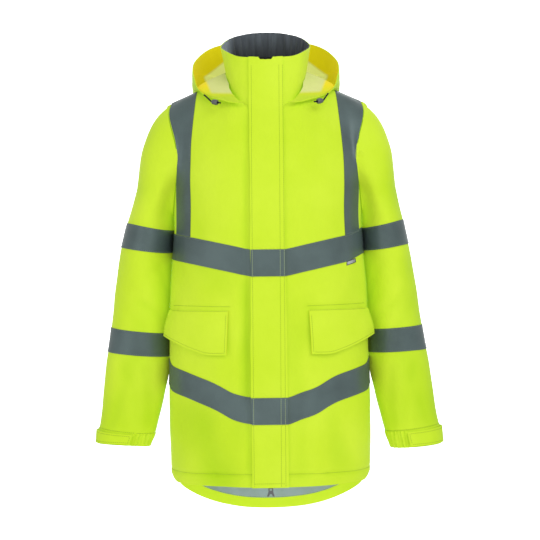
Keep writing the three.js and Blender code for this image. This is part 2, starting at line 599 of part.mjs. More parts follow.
const halfGap = SEAM_GAP / 2 + 0.01;
const wholeBack = acrossCentre(back);
const middle = BACK_COLUMNS.length - 1;

addPair("front", (side) => wall(side(moved(front, 0, -halfGap, 0)), 0, -CLOTH), YELLOW);
add("back", wall(moved(wholeBack, 0, halfGap, 0), 0, -CLOTH), YELLOW);

const liningRows = [1, 2, 3, 4, 6, 8, 10, 12];
const liningColumns = [-8, -6, -4, -2, 0, 2, 4, 6, 8].map((c) => middle + c);
const backLining = moved(liningRows.map((r) => liningColumns.map((c) => wholeBack[r][c])), 0, halfGap, 0);
add("back_lining", wall(backLining, -CLOTH - 1.2, -CLOTH - 1.2 - LINING), GREY_LINING);

addPair("sleeve", (side) => wall(side(openSeam(sleeve, SEAM_GAP, true)), 0, -CLOTH, true), YELLOW);
addPair("cuff", (side) => wall(side(openSeam(cuff, SEAM_GAP, true)), 0, -CLOTH, true), YELLOW);
addPair("cuff_tab", (side) => wall(side(tab), TAB.stand + TAB.thickness + 1.4, TAB.stand + 1.4), YELLOW);

const wholeCollar = aroundBack(openSeam(collar, SEAM_GAP, false));
add("collar", wall(wholeCollar, 0, -CLOTH), YELLOW);
const rib = (r, c) => (c % 2 ? RIB_DEPTH : 0);
add("collar_lining", wall(wholeCollar, -CLOTH - 0.4, (r, c) => -CLOTH - 0.4 - LINING - rib(r, c)), GREY_LINING);

// The hood's halves meet at a seam down its middle.
const hoodMiddle = (hood[0].length - 1) / 2;
const hoodHalf = moved(window2d(hood, 0, HOOD_ROWS, 0, hoodMiddle), halfGap, 0, 0);
addPair("hood", (side) => wall(side(hoodHalf), 0, -CLOTH), YELLOW);
const hoodInside = hood.slice(0, HOOD_LINING_BACK_ROW + 1).map((row, r) =>
  row.map((node, c) => (r > HOOD_LINING_ROW && Math.abs(c - hoodMiddle) > HOOD_LINING_BACK_COLUMNS ? null : node)));
add("hood_lining", wall(hoodInside, -CLOTH - HOOD_LINING_GAP, -CLOTH - HOOD_LINING_GAP - 1), PALE_LINING);

// The storm flap runs over the zip from the hem to the collar's top; the zip lies behind the fronts' edges.
const frontCentre = moved(window2d(front, 0, TOP_ROW, 0, PLACKET_COLUMN), 0, -halfGap, 0);
const collarCentre = range(COLLAR_ROWS).map((r) => [0, 2, 4].map((c) => collar[r + 1][c]));
const centre = [...frontCentre, ...collarCentre];
const across = centre.map((row) => [...mirrored([row])[0].reverse(), ...row]);
const placketGrid = across.map((row, r) =>
  row.map(({ p, n }, c) => {
    const dip = r === across.length - 1 && (c === 2 || c === 3) ? COLLAR_NOTCH : 0;
    return { p: p.clone().add(new THREE.Vector3(0, 0, -dip)), n };
  }));
add("placket", wall(placketGrid, PLACKET.stand + PLACKET.thickness, PLACKET.stand), YELLOW);
const zipShare = ZIP.halfWidth / FRONT_COLUMNS[0];
const zipGrid = across.map((row) =>
  row.slice(2, 4).map(({ p, n }) => ({ p: new THREE.Vector3(p.x * zipShare, p.y, p.z), n })));
add("zip", wall(zipGrid, -ZIP.sunk, -ZIP.sunk - ZIP.thickness), BLACK);
add("zip_pull", zipPullGeometry(), DARK_GREY);
for (const [name, row] of [["chest", CHEST_TAPE_ROW], ["hip", HIP_TAPE_ROW]]) {
  const above = PLACKET.stand + PLACKET.thickness + SEAM_GAP;
  add(`tape_placket_${name}`, wall(across.slice(row, row + 2), above + TAPE_THICKNESS, above), SILVER);
}

// Tapes round the body, from under the storm flap's one edge to the other.
for (const [name, row] of [["chest", CHEST_TAPE_ROW], ["hip", HIP_TAPE_ROW]]) {
  const frontPart = window2d(front, row, row + 1, 1, FRONT_COLUMNS.length - 1);
  const backPart = window2d(wholeBack, row, row + 1, 1, wholeBack[0].length - 2);
  const strip = [0, 1].map((r) => [
    ...mirrored([frontPart[r]])[0],
    ...backPart[r],
    ...[...frontPart[r]].reverse(),
  ]);
  add(`tape_${name}`, wall(strip, SEAM_GAP + TAPE_THICKNESS, SEAM_GAP), SILVER);
}

// Tapes over the shoulders, from the front chest tape to the back one.
addPair("tape_shoulder", (side) => {
  const rows = range(TOP_ROW - CHEST_TAPE_ROW).map((i) => CHEST_TAPE_ROW + 1 + i);
  const frontPart = rows.map((r) => front[r].slice(BRACE_COLUMN, ARMHOLE_COLUMN + 1));
  const backPart = rows.map((r) => back[r].slice(BACK_BRACE_COLUMN, BACK_ARMHOLE_COLUMN + 1)).slice(0, -1).reverse();
  const strip = [...frontPart, ...backPart].map((row) => {
    const [inner, mid, edge] = row;
    return [inner, mid, { p: edge.p.clone().lerp(mid.p, 0.03), n: edge.n }];
  });
  const shortened = (a, b) => a.map((node, c) => ({ p: node.p.clone().lerp(b[c].p, 0.02), n: node.n }));
  strip[0] = shortened(strip[0], strip[1]);
  strip[strip.length - 1] = shortened(strip[strip.length - 1], strip[strip.length - 2]);
  return wall(side(strip), SHOULDER_TAPE_STAND + TAPE_THICKNESS, SHOULDER_TAPE_STAND);
}, SILVER);

// Two tapes round each sleeve.
for (const [name, section] of [["upper", 1], ["lower", 5]]) {
  const ring = CAP_RINGS + 1 + section;
  addPair(`tape_sleeve_${name}`, (side) =>
    wall(side(sleeve.slice(ring, ring + 2)), SEAM_GAP + TAPE_THICKNESS, SEAM_GAP, true), SILVER);
}

addPair("flap", (side) => wall(side(flapGrid()), FLAP.thickness, 0), YELLOW);
add("label", wall(labelGrid(front), SEAM_GAP + LABEL.thickness, SEAM_GAP), DARK_GREY);

for (const [name, mirror] of [["left", 1], ["right", -1]]) {
  for (const [piece, geometry, finish] of [
    ["toggle", toggleGeometry(), DARK_GREY],
    ["cord", cordGeometry(), BLACK],
  ]) {
    add(`${piece}_${name}`, geometry, finish);
    jacket.children.at(-1).scale.x = mirror;
  }
}

export default jacket;
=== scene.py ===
import math

import bmesh
import bpy
import numpy as np
from bpy.props import FloatProperty, FloatVectorProperty, IntProperty, PointerProperty
from mathutils import Matrix, Vector
from mathutils.bvhtree import BVHTree
from mathutils.kdtree import KDTree


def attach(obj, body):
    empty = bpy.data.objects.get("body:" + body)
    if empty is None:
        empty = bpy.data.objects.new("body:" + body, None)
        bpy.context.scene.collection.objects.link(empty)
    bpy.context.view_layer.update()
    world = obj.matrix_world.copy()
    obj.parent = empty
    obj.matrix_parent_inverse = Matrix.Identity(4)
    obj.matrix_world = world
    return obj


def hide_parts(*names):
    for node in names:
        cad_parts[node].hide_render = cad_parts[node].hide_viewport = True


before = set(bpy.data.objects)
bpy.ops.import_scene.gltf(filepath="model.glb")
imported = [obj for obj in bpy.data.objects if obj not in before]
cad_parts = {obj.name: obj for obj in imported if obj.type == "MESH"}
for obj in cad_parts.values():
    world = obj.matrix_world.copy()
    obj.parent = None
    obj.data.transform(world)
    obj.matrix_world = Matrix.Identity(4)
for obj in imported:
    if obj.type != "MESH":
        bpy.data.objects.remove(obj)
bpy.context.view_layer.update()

MM = 0.001

bl_info = {
    "name": "Hi-vis Work Jacket",
    "version": (1, 0, 0),
    "blender": (4, 5, 0),
    "location": "View3D > Sidebar > Jacket",
    "description": "Dresses the jacket's frame with sewn cloth, reflective tapes, trims and a studio",
    "category": "Object",
}


# Settings that a user would change
class ClothSettings(bpy.types.PropertyGroup):
    colour: FloatVectorProperty(
        name="Colour", description="Fluorescent colour of the shell cloth", subtype="COLOR",
        size=3, min=0, max=1, default=(0.545, 0.73, 0.028))
    shade: FloatVectorProperty(
        name="Shade", description="Deeper tone that the cloth's uneven dye leans to", subtype="COLOR",
        size=3, min=0, max=1, default=(0.485, 0.685, 0.012))
    # Painted shade: the tone that the shell's colour takes in the hollows of its folds, where shade falls
    hollow_painted_shade: FloatVectorProperty(
        name="Hollows", description="Tone that the cloth takes in the hollows of its folds",
        subtype="COLOR",
        size=3, min=0, max=1, default=(0.345, 0.575, 0.0))
    # Painted shade: a gold tone of the shell cloth where it lies in shade, turned in round the hood's opening
    # and on the pocket flaps' inner edges; also the colour of the hood facing's painted glow
    facing: FloatVectorProperty(
        name="Facing", description="Colour of the cloth turned in round the hood's opening",
        subtype="COLOR",
        size=3, min=0, max=1, default=(0.7, 0.58, 0.006))
    weave: FloatProperty(
        name="Weave", description="Spacing of the shell's threads",
        unit="LENGTH", min=0.0002, default=0.0011)
    relief: FloatProperty(
        name="Fold relief", description="How strongly the hand-placed folds stand out",
        min=0, max=3, default=1.1)
    smoothness: IntProperty(
        name="Subdivision", description="Subdivision of each cloth panel", min=1, max=3, default=2)
    # Partly the cloth's real fluorescence, partly painted light: a glow of the shell's own colour that lifts
    # its shade
    painted_fluorescent_glow: FloatProperty(
        name="Fluorescence", description="Daylight that the shell turns into its own colour",
        min=0, default=0.16)
    # Painted light: glow of the hood's gold facing and its deep lining, and half as much again of the back's
    # turned hem
    glow: FloatProperty(
        name="Facing glow", description="Light that the turned-in cloth gathers and gives back",
        min=0, default=0.3)


class LiningSettings(bpy.types.PropertyGroup):
    fleece: FloatVectorProperty(
        name="Collar fleece", description="Colour of the collar's lining", subtype="COLOR",
        size=3, min=0, max=1, default=(0.072, 0.085, 0.1))
    back: FloatVectorProperty(
        name="Back lining", description="Colour of the back's lining", subtype="COLOR",
        size=3, min=0, max=1, default=(0.44, 0.56, 0.61))
    hood: FloatVectorProperty(
        name="Hood lining", description="Colour of the hood's lining", subtype="COLOR",
        size=3, min=0, max=1, default=(0.72, 0.76, 0.27))


class TapeSettings(bpy.types.PropertyGroup):
    colour: FloatVectorProperty(
        name="Colour", description="Colour of the reflective tape", subtype="COLOR",
        size=3, min=0, max=1, default=(0.082, 0.118, 0.117))
    stand: FloatProperty(
        name="Stand", description="Gap between a tape and the cloth", unit="LENGTH", default=0.0002)
    thickness: FloatProperty(
        name="Thickness", description="Thickness of the tapes", unit="LENGTH", default=0.0009)
    beads: FloatProperty(
        name="Beads", description="Spacing of the reflective pattern",
        unit="LENGTH", min=0.0002, default=0.0016)


class TrimSettings(bpy.types.PropertyGroup):
    plastic: FloatVectorProperty(
        name="Plastic", description="Colour of the cord locks and the zip's pull", subtype="COLOR",
        size=3, min=0, max=1, default=(0.11, 0.115, 0.12))
    cord: FloatVectorProperty(
        name="Cord", description="Colour of the elastic cord", subtype="COLOR",
        size=3, min=0, max=1, default=(0.012, 0.012, 0.014))
    cord_diameter: FloatProperty(
        name="Cord diameter", description="Diameter of the elastic cord", unit="LENGTH", default=0.003)
    label: FloatVectorProperty(
        name="Label", description="Colour of the plain side label", subtype="COLOR",
        size=3, min=0, max=1, default=(0.035, 0.04, 0.045))


class StitchSettings(bpy.types.PropertyGroup):
    pitch: FloatProperty(
        name="Pitch", description="Distance from stitch to stitch",
        unit="LENGTH", min=0.001, default=0.0039)
    length: FloatProperty(
        name="Length", description="Length of a stitch", unit="LENGTH", min=0.0005, default=0.0025)
    thread: FloatProperty(
        name="Thread", description="Radius of the thread", unit="LENGTH", min=0.0001, default=0.0005)
    colour: FloatVectorProperty(
        name="Cloth thread", description="Colour of the thread in the shell", subtype="COLOR",
        size=3, min=0, max=1, default=(0.33, 0.5, 0.012))
    pale: FloatVectorProperty(
        name="Tape thread", description="Colour of the thread along the tapes", subtype="COLOR",
        size=3, min=0, max=1, default=(0.16, 0.21, 0.19))


class StageSettings(bpy.types.PropertyGroup):
    distance: FloatProperty(
        name="Camera distance", description="From the camera to the jacket's middle",
        unit="LENGTH", default=2.65)
    height: FloatProperty(
        name="Camera height", description="Height of the camera over the shoulders",
        unit="LENGTH", default=-0.35)
    side: FloatProperty(
        name="Camera side", description="How far the camera stands to the side",
        unit="LENGTH", default=0.0036)
    roll: FloatProperty(
        name="Camera roll", description="Roll of the camera", subtype="ANGLE", default=math.radians(0.7))
    lens: FloatProperty(name="Lens", description="Focal length of the camera, in mm", default=87.72)
    floor: FloatVectorProperty(
        name="Floor", description="Colour of the studio floor", subtype="COLOR",
        size=3, min=0, max=1, default=(0.93, 0.93, 0.93))
    key: FloatProperty(name="Key light", description="Power of the key light", unit="POWER", default=40)
    fill: FloatProperty(name="Fill light", description="Power of the fill light", unit="POWER", default=16)
    world: FloatProperty(name="Surround", description="Strength of the white surround", min=0, default=0.62)


class JacketSettings(bpy.types.PropertyGroup):
    cloth: PointerProperty(type=ClothSettings)
    lining: PointerProperty(type=LiningSettings)
    tape: PointerProperty(type=TapeSettings)
    trim: PointerProperty(type=TrimSettings)
    stitch: PointerProperty(type=StitchSettings)
    stage: PointerProperty(type=StageSettings)


def settings():
    return bpy.context.scene.jacket


SIDES = {"left": 1, "right": -1}
# Half of the torso's width and depth, in metres
TORSO_HALF = (0.2, 0.13)
# Radius at which a sleeve's folds are laid out round it, in mm
SLEEVE_RADIUS = 62
# How far the hem rises at the fronts' side corners, in mm
HEM_CORNER_LIFT = 11
# Width that the reflective tapes are cut to, in metres
TAPE_CUT = 0.052
# Folds, as soft troughs (negative) and ridges (positive) between two points of a view, in mm:
# across and up at each end, half width, depth
FRONT_FOLDS = (
    (-40, -50, -41, -730, 6, -1.8),
    (-43, -150, -46, -290, 12, -1.6),
    (-44, -385, -46, -585, 13, -3.4),
    (-60, -400, -64, -540, 15, 1.2),
    (45, -400, 46, -590, 10, -0.8),
    (60, -470, 62, -580, 14, -1.4),
    (64, -640, 58, -745, 18, -1.6),
    (88, -520, 94, -720, 22, 1.4),
    (122, -640, 132, -715, 26, -1.6),
    (156, -480, 166, -680, 24, 1.4),
    (-60, -640, -78, -735, 26, -2.6),
    (-96, -520, -100, -600, 18, 1.6),
    (-126, -650, -112, -738, 34, -5.2),
    (-168, -620, -178, -720, 24, -1.4),
    (-172, -440, -170, -560, 16, 1.2),
    (-176, -330, -160, -400, 18, -1.2),
    (172, -330, 158, -405, 18, -1.2),
    (124, -345, 76, -400, 24, -0.9),
    (-128, -350, -72, -395, 24, -1.1),
    (-112, -110, -92, -250, 34, 0.8),
    (108, -100, 92, -270, 34, 0.8),
    (-160, -190, -134, -270, 16, -0.9),
    (160, -180, 136, -270, 16, -0.9),
    (82, -432, 92, -500, 20, -1.0),
)
BACK_FOLDS = (
    (-60, -200, -54, -330, 26, -2.4),
    (64, -190, 70, -330, 26, -2.4),
    (0, -360, 6, -640, 24, -2.2),
    (-92, -400, -110, -760, 24, 2.6),
    (98, -390, 108, -740, 24, 2.4),
    (-42, -560, -50, -820, 20, -2.2),
    (48, -540, 54, -830, 22, 2.4),
    (-150, -340, -164, -560, 20, -2.2),
    (150, -330, 168, -580, 20, -2.2),
    (-160, -160, -110, -300, 20, -2.0),
    (160, -150, 116, -290, 20, -2.0),
)
# Round the sleeve in degrees (0 inner, 90 front, 180 outer) and down from the shoulder, in mm
SLEEVE_FOLDS = (
    (44, -140, 66, -235, 14, -1.7),
    (30, -160, 46, -270, 13, 1.3),
    (62, -345, 30, -395, 12, -2.0),
    (96, -372, 46, -425, 13, 1.6),
    (78, -415, 28, -448, 12, -1.9),
    (128, -335, 104, -380, 15, -1.0),
    (122, -405, 92, -450, 15, -1.1),
    (108, -540, 84, -600, 15, -1.7),
    (62, -550, 40, -640, 16, -2.4),
    (92, -585, 80, -652, 14, 1.3),
    (112, -600, 124, -650, 14, -1.5),
    (84, -520, 84, -650, 36, -2.6),
    (250, -360, 300, -430, 15, -2.2),
    (300, -340, 340, -405, 14, 1.8),
    (230, -560, 280, -620, 15, -2.0),
    (320, -160, 300, -300, 16, -2.2),
    (200, -150, 220, -330, 20, 1.4),
)
COLLAR_FOLDS = (
    (-58, 40, -66, 78, 9, -1.2),
    (52, 30, 60, 82, 10, -1.2),
    (-30, 0, -52, 30, 10, 1.0),
    (30, 4, 50, 30, 10, 1.0),
)
# Middle line of the wearer's left sleeve: down from the shoulder, across, towards the back, in mm
SLEEVE_LINE = (
    (-10, 190, 0), (-120, 206, 4), (-240, 234, 16), (-330, 245, 18), (-420, 254, 16),
    (-520, 264, 6), (-620, 278, -8), (-720, 296, -18),
)
# Seam lines of a front, as troughs: across and up at each end, half width, depth
FRONT_SEAMS = (
    (74, -421, 188, -419, 4, -1.1), (-74, -421, -188, -419, 4, -1.1),
    (35, -742, 110, -743, 4.5, -1.6), (110, -743, 197, -745, 4.5, -1.6),
    (-35, -742, -110, -743, 4.5, -1.6), (-110, -743, -197, -745, 4.5, -1.6),
)
# Rows of stitches down the storm flap: across from the middle at its top and at its bottom, in mm
FLAP_ROWS = ((-28.2, -31.3), (25.6, 20.5), (32.6, 29))
# Heights in mm: ends of those rows, the row across the flap's foot, and where other rows begin
FLAP_ROW_TOP, FLAP_ROW_FOOT, FLAP_FOOT_ROW = 50, -767, -757
POCKET_FLAP_ROW, POCKET_FLAP_RIM, SLEEVE_RIM, TAIL_RIM = -427.6, -436, -640, -700
# How far the hip tape strays up from its line, at places across the front, in mm
HIP_SWAY = (
    (-191, 5.5), (-164, 6), (-136, 5), (-111, 4.5), (-98, 3.2), (-85, 0), (-73, -3.2), (-58, -3), (-37, 0),
    (37, -1), (60, 0), (82, -0.8), (97, 1), (111, 4.9), (126, 7.4), (140, 7.8), (164, 6.6), (191, 4.7),
)
# How far each sleeve leans on the body, down from the shoulder, in mm
SLEEVE_LEAN = (
    (-700, 0), (-590, 0), (-540, 3.2), (-480, 4), (-420, 2.4), (-340, 2.6), (-255, 5), (-200, 3), (-150, 0),
)
# How far out each sleeve's outer side stands, down from the shoulder, in mm: the wearer's left, then right
SLEEVE_OUT = {
    1: ((-720, -4.8), (-500, -6.6), (-305, -5.5), (-185, -7), (-110, -1), (-60, 0)),
    -1: ((-720, -3), (-500, 2), (-305, 7), (-265, 5), (-185, -3), (-110, 0)),
}
# Height of the seam between sleeve and cuff, in mm
CUFF_SEAM = -662
# How long each cuff is drawn, as a share of its solid
CUFF_SHARE = {1: 1.07, -1: 0.93}
# How far each cuff's edge is lifted all round, and once more at its front, in mm
CUFF_LIFT = {1: (-3, 1.5), -1: (-1, 4.5)}
# How far the cord locks hang from their solids' places, in mm: the wearer's left, then right
LOCK_DROP = {1: (1.5, -3.5, -3.5), -1: (3.5, -3.5, -3.5)}
# Cords of the hood's opening, on the wearer's left, in mm: the same route as the solids
CORD_ROUTE = (
    (121.8, -63.2, -4.4), (119, -69.5, -7), (114.5, -79, -12.3), (109.5, -86, -17.5),
    (103.25, -89.75, -19.05), (97, -93.5, -20.6), (91.5, -96, -21.2),
)
# The collar's dip over the zip's end, in mm
NOTCH = {"across": 0, "half_width": 12, "ease": 1.6, "depth": 5, "from": 40}
# The small guard at the zip's end: size, bevel, and how far behind and below the fleece's lip, in metres
ZIP_GUARD = {"size": (0.025, 0.0014, 0.018), "bevel": 0.0004, "behind": 0.0012, "below": 0.008}
# Straight seams round the pale lining inside the hood: slope, and place at the middle in metres
HOOD_LINING_SEAMS = {"top": (-0.785, 0.1564), "front": (0.39, 0.1079), "foot": (0.1, -0.0105)}
# Colour of the painted light that lifts the pale lining deep inside the hood
DEEP_LINING_PAINTED_LIGHT = (0.85, 0.88, 0.35)
LABEL_FACE = (0.34, 0.36, 0.36)
PALE_THREAD = (0.5, 0.62, 0.3)
# Low unevenness of all cloth
UNEVEN = (
    # strength in mm, wave vector in radians a metre, phase
    (0.55, (23, 9, 14), 0.4),
    (0.45, (-15, 21, 26), 2.1),
    (0.35, (38, -17, 11), 4.0),
    (0.28, (9, 31, -43), 1.2),
    (0.16, (71, 22, 47), 5.2),
    (0.12, (-58, 63, 81), 0.9),
)


def read_points(mesh):
    flat = np.empty(len(mesh.vertices) * 3)
    mesh.vertices.foreach_get("co", flat)
    return flat.reshape(-1, 3)


def write_points(mesh, points):
    mesh.vertices.foreach_set("co", np.ascontiguousarray(points, dtype=np.float64).ravel())
    mesh.update()


def fold_height(across, up, folds):
    """Height in mm of the folds at points across and up, in mm, eased at each fold's ends."""
    height = np.zeros(len(across))
    for x0, z0, x1, z1, width, depth in folds:
        run = np.array((x1 - x0, z1 - z0), float)
        length = np.hypot(*run)
        run /= length
        along = (across - x0) * run[0] + (up - z0) * run[1]
        away = (across - x0) * -run[1] + (up - z0) * run[0]
        beyond = np.maximum(0, np.maximum(-along, along - length))
        height += depth * np.exp(-(away / width) ** 2 - (beyond / (1.6 * width)) ** 2)
    return height


def unevenness(points):
    height = np.zeros(len(points))
    for strength, wave, phase in UNEVEN:
        height += strength * np.sin(points @ np.array(wave, float) + phase)
    return height


def unit(ways):
    """The ways at a length of 1."""
    return ways / np.maximum(1e-9, np.linalg.norm(ways, axis=1))[:, None]


def torso_way(points):
    """Way out of the torso, level."""
    return unit(points * (1 / TORSO_HALF[0]**2, 1 / TORSO_HALF[1]**2, 0))


def torso_folds(points):
    """Height in mm of the folds of the fronts and the back."""
    x, y, z = (points / MM).T
    front = fold_height(x, z, FRONT_FOLDS) * np.clip(-y / 60, 0, 1)
    back = fold_height(x, z, BACK_FOLDS) * np.clip(y / 60, 0, 1)
    height = np.where(y < 0, front, back) + unevenness(points)
    height *= np.clip((-20 - z) / 60, 0.15, 1)
    return height * np.where(y < 0, np.clip((np.abs(x) - 18) / 22, 0.08, 1), 1)


def fold_torso(points):
    """Folds the fronts and the back, sinks their seams and lifts the side corners of the hem."""
    x, y, z = (points / MM).T
    height = torso_folds(points) + fold_height(x, z, FRONT_SEAMS) * np.clip(-y / 40, 0, 1)
    moved = points + torso_way(points) * (height * MM * settings().cloth.relief)[:, None]
    corner = np.clip((np.abs(x) - 180) / 16, 0, 1) ** 2 * np.clip((-736 - z) / 24, 0, 1)
    moved[:, 2] += HEM_CORNER_LIFT * MM * corner
    return moved


def fold_placket(points):
    """Lifts the storm flap's free edge and notches its top."""
    x, _, z = (points / MM).T
    free = np.clip((-x - 8) / 24, 0, 1) ** 2
    moved = points.copy()
    lift = 1.5 + 0.7 * np.sin(z / 47) + 0.4 * np.sin(z / 19 + 1)
    moved[:, 1] -= MM * free * lift * np.clip((30 - z) / 60, 0, 1)
    sway = 0.6 * np.sin(z / 38) + 0.35 * np.sin(z / 15)
    moved[:, 0] += MM * free * sway * np.clip((20 - z) / 60, 0, 1)
    dip = np.clip((18 - np.abs(x)) / 14, 0, 1) * np.clip((z - 42) / 18, 0, 1)
    moved[:, 2] += 5 * MM * dip
    return notched(moved)


def notched(points):
    """Lowers the collar's front edge over the zip's end."""
    x, _, z = (points / MM).T
    inside = np.clip((NOTCH["half_width"] - np.abs(x - NOTCH["across"])) / NOTCH["ease"] + 0.5, 0, 1)
    share = inside * inside * (3 - 2 * inside) * np.clip((z - NOTCH["from"]) / 18, 0, 1)
    moved = points.copy()
    moved[:, 2] -= share * NOTCH["depth"] * MM * (points[:, 1] < 0)
    return moved


def sway_hip(points):
    """Lets the hip tape stray from its line, as it does across the front."""
    x, y, _ = (points / MM).T
    places = np.array(HIP_SWAY, float)
    smooth = np.mean([np.interp(x + d, *places.T) for d in (-6, -3, 0, 3, 6)], 0)
    moved = points.copy()
    moved[:, 2] += MM * smooth * np.clip((60 - y) / 60, 0, 1)
    return moved


def sway_chest(points):
    """Lifts the chest tape at the wearer's left side."""
    x, y, _ = (points / MM).T
    moved = points.copy()
    moved[:, 2] += 8.5 * MM * np.clip((x - 150) / 36, 0, 1) ** 1.4 * np.clip((60 - y) / 80, 0, 1)
    return moved


def sway_sleeve(points, side, inner, outer):
    """Lifts a sleeve's tape by one amount at its inner side and by another at its outer side, in mm."""
    out = points[:, :2] - sleeve_centre(points[:, 2] / MM, side)
    share = 0.5 - 0.5 * side * out[:, 0] / np.maximum(1e-9, np.linalg.norm(out, axis=1))
    moved = points.copy()
    moved[:, 2] += MM * (outer + (inner - outer) * share)
    return moved


def stand_out(points, side, angle):
    """Moves a sleeve's outer side in or out."""
    moved = points.copy()
    outward = np.interp(points[:, 2] / MM, *np.array(SLEEVE_OUT[side]).T)
    moved[:, 0] += side * MM * outward * (0.5 - 0.5 * np.cos(angle))
    return moved


def fit_cuff(points, side):
    """Draws a cuff or its tab longer or shorter, and shifts its lower edge."""
    z = points[:, 2] / MM
    out = points[:, :2] - sleeve_centre(z, side)
    moved = stand_out(points, side, np.arctan2(-out[:, 1], -side * out[:, 0]))
    moved[:, 2] = MM * np.where(z < CUFF_SEAM, CUFF_SEAM + (z - CUFF_SEAM) * CUFF_SHARE[side], z)
    to_front = np.clip(-out[:, 1] / np.maximum(1e-9, np.linalg.norm(out, axis=1)), 0, 1)
    around, at_front = CUFF_LIFT[side]
    moved[:, 2] += MM * (around + at_front * to_front) * np.clip((-672 - z) / 22, 0, 1)
    return moved


def fit_tab(points, side):
    """Lets a cuff's tab reach further round the front."""
    x, y, _ = (points / MM).T
    moved = fit_cuff(points, side)
    moved[:, 0] -= side * MM * 8 * np.clip((315 - side * x) / 20, 0, 1) * (y < -40)
    return moved


def fold_pocket_flap(points, side):
    """Waves a pocket flap softly along its lower edge."""
    x, _, z = (points / MM).T
    moved = points.copy()
    moved[:, 0] -= side * MM * 0.8 * np.clip((130 - side * x) / 50, 0, 1)
    moved[:, 1] += 0.8 * MM * np.sin(x / 17 + z / 23) * np.clip((-436 - z) / 30, 0, 1)
    return moved


def draw_in_hood(points):
    """Draws the folded hood in over the shoulders, and pinches its front ends to points."""
    x, y, z = (points / MM).T
    moved = points.copy()
    moved[:, 0] -= np.sign(x) * 6 * MM * np.clip((np.abs(x) - 105) / 40, 0, 1) * np.clip((75 - z) / 40, 0, 1)
    pinch = 0.85 * np.clip((84 - np.abs(x)) / 34, 0, 1) ** 1.3 * (y < -40) * (z < 20)
    moved[:, 1] += pinch * MM * (-101.5 - y)
    moved[:, 2] += pinch * MM * (-25 - z)
    return moved


def quilt(points):
    """Soft upright puckers on the back's lining, which follows the back's folds from inside."""
    x, _, z = (points / MM).T
    height = 1.5 + 0.9 * np.sin(x / 4.3 + 0.9 * np.sin(z / 21)) + 0.6 * np.sin(x / 9.7 + z / 15)
    moved = points + torso_way(points) * (torso_folds(points) * MM * settings().cloth.relief)[:, None]
    moved[:, 1] -= height * MM * np.clip((z + 826) / 14, 0, 1)
    return moved


def sleeve_centre(z, side):
    """Where a sleeve's middle line runs at some heights in mm, in metres."""
    down, across, back = np.array(SLEEVE_LINE, float)[::-1].T
    return np.stack([side * np.interp(z, down, across), np.interp(z, down, back)], 1) * MM


def fold_sleeve(points, side):
    """Creases a sleeve, and leans it on the body."""
    z = points[:, 2] / MM
    out = points[:, :2] - sleeve_centre(z, side)
    angle = np.degrees(np.arctan2(-out[:, 1], -side * out[:, 0])) % 360
    folds = [
        (math.radians(start) * SLEEVE_RADIUS, z0, math.radians(end) * SLEEVE_RADIUS, z1, width, depth)
        for start, z0, end, z1, width, depth in SLEEVE_FOLDS
    ]
    lower = z + (9 if side > 0 else 0)
    height = fold_height(np.radians(angle) * SLEEVE_RADIUS, lower, folds)
    height += 1.3 * unevenness(points * (side, 1, 1))
    height *= np.clip((-40 - z) / 80, 0.1, 1) * np.clip((z + 690) / 40, 0.2, 1)
    near_body = np.clip(np.cos(np.radians(angle)), 0, 1)
    held = 1 - near_body ** 2 * (z > -560)
    height = np.where(height > 0, height * held, height) * settings().cloth.relief
    height += near_body * np.interp(z, *np.array(SLEEVE_LEAN, float).T)
    moved = stand_out(points, side, np.radians(angle))
    moved[:, :2] += unit(out) * (height * MM)[:, None]
    return moved


def gather_cuff(points, side):
    """Fine gathers round the inner half of a cuff, from its seam down."""
    z = points[:, 2] / MM
    ends = (-706, -660)
    middle = np.stack([side * np.interp(z, ends, (294, 287)), np.interp(z, ends, (-19, -16))], 1) * MM
    out = points[:, :2] - middle
    angle = np.degrees(np.arctan2(-out[:, 1], -side * out[:, 0]))
    gathered = np.clip((82 - np.abs(angle)) / 14, 0, 1) + np.clip((np.abs(angle) - 236 + 180) / 400, 0, 1)
    turn = np.radians(angle)
    wave = np.sin(turn * 40) + 0.5 * np.sin(turn * 27 + 1) + 0.4 * np.sin(z / 9 + angle / 9)
    height = gathered * wave * np.clip((-664 - z) / 8, 0, 1) * 1.5
    moved = fit_cuff(points, side)
    moved[:, :2] += unit(out) * (height * MM)[:, None]
    return moved


def rib_fleece(points):
    """Soft upright gathers on the collar's fleece, standing into the collar."""
    x, y, z = (points / MM).T
    angle = np.arctan2(x, y)
    wave = np.cos(angle * 34 + 1.1 * np.sin(z / 26 + 2 * angle)) + 0.45 * np.cos(angle * 55 + 0.7)
    height = 1.3 * np.clip(wave + 0.4, -0.6, 1.6)
    return notched(points - unit(points * (1, 1, 0)) * (height * MM)[:, None])


def fold_collar(points):
    x, y, z = (points / MM).T
    height = np.where(y < 0, fold_height(x, z, COLLAR_FOLDS), 0) + 0.6 * unevenness(points)
    height *= np.where(y < 0, np.clip((np.abs(x) - 18) / 14, 0.05, 1), 1)
    return notched(points + unit(points * (1, 1, 0)) * (height * MM)[:, None])


# Meshes
def merged_copy(node):
    """The node's mesh as a bmesh, its loose triangles merged and joined into quads."""
    bm = bmesh.new()
    bm.from_mesh(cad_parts[node].data)
    bmesh.ops.remove_doubles(bm, verts=bm.verts, dist=2e-5)
    bmesh.ops.join_triangles(
        bm, faces=bm.faces, angle_face_threshold=math.radians(60), angle_shape_threshold=math.radians(75))
    return bm


def crease_rims(bm, angle):
    """Holds the cloth's cut edges sharp under subdivision."""
    sharp = bm.edges.layers.float.new("crease_edge")
    for edge in bm.edges:
        if len(edge.link_faces) == 2 and edge.calc_face_angle(0) > math.radians(angle):
            edge[sharp] = 1


def object_from(bm, name):
    mesh = bpy.data.meshes.new(name)
    bm.to_mesh(mesh)
    bm.free()
    piece = bpy.data.objects.new(name, mesh)
    bpy.context.scene.collection.objects.link(piece)
    return piece


def evaluated_mesh(piece):
    return bpy.data.meshes.new_from_object(piece.evaluated_get(bpy.context.evaluated_depsgraph_get()))


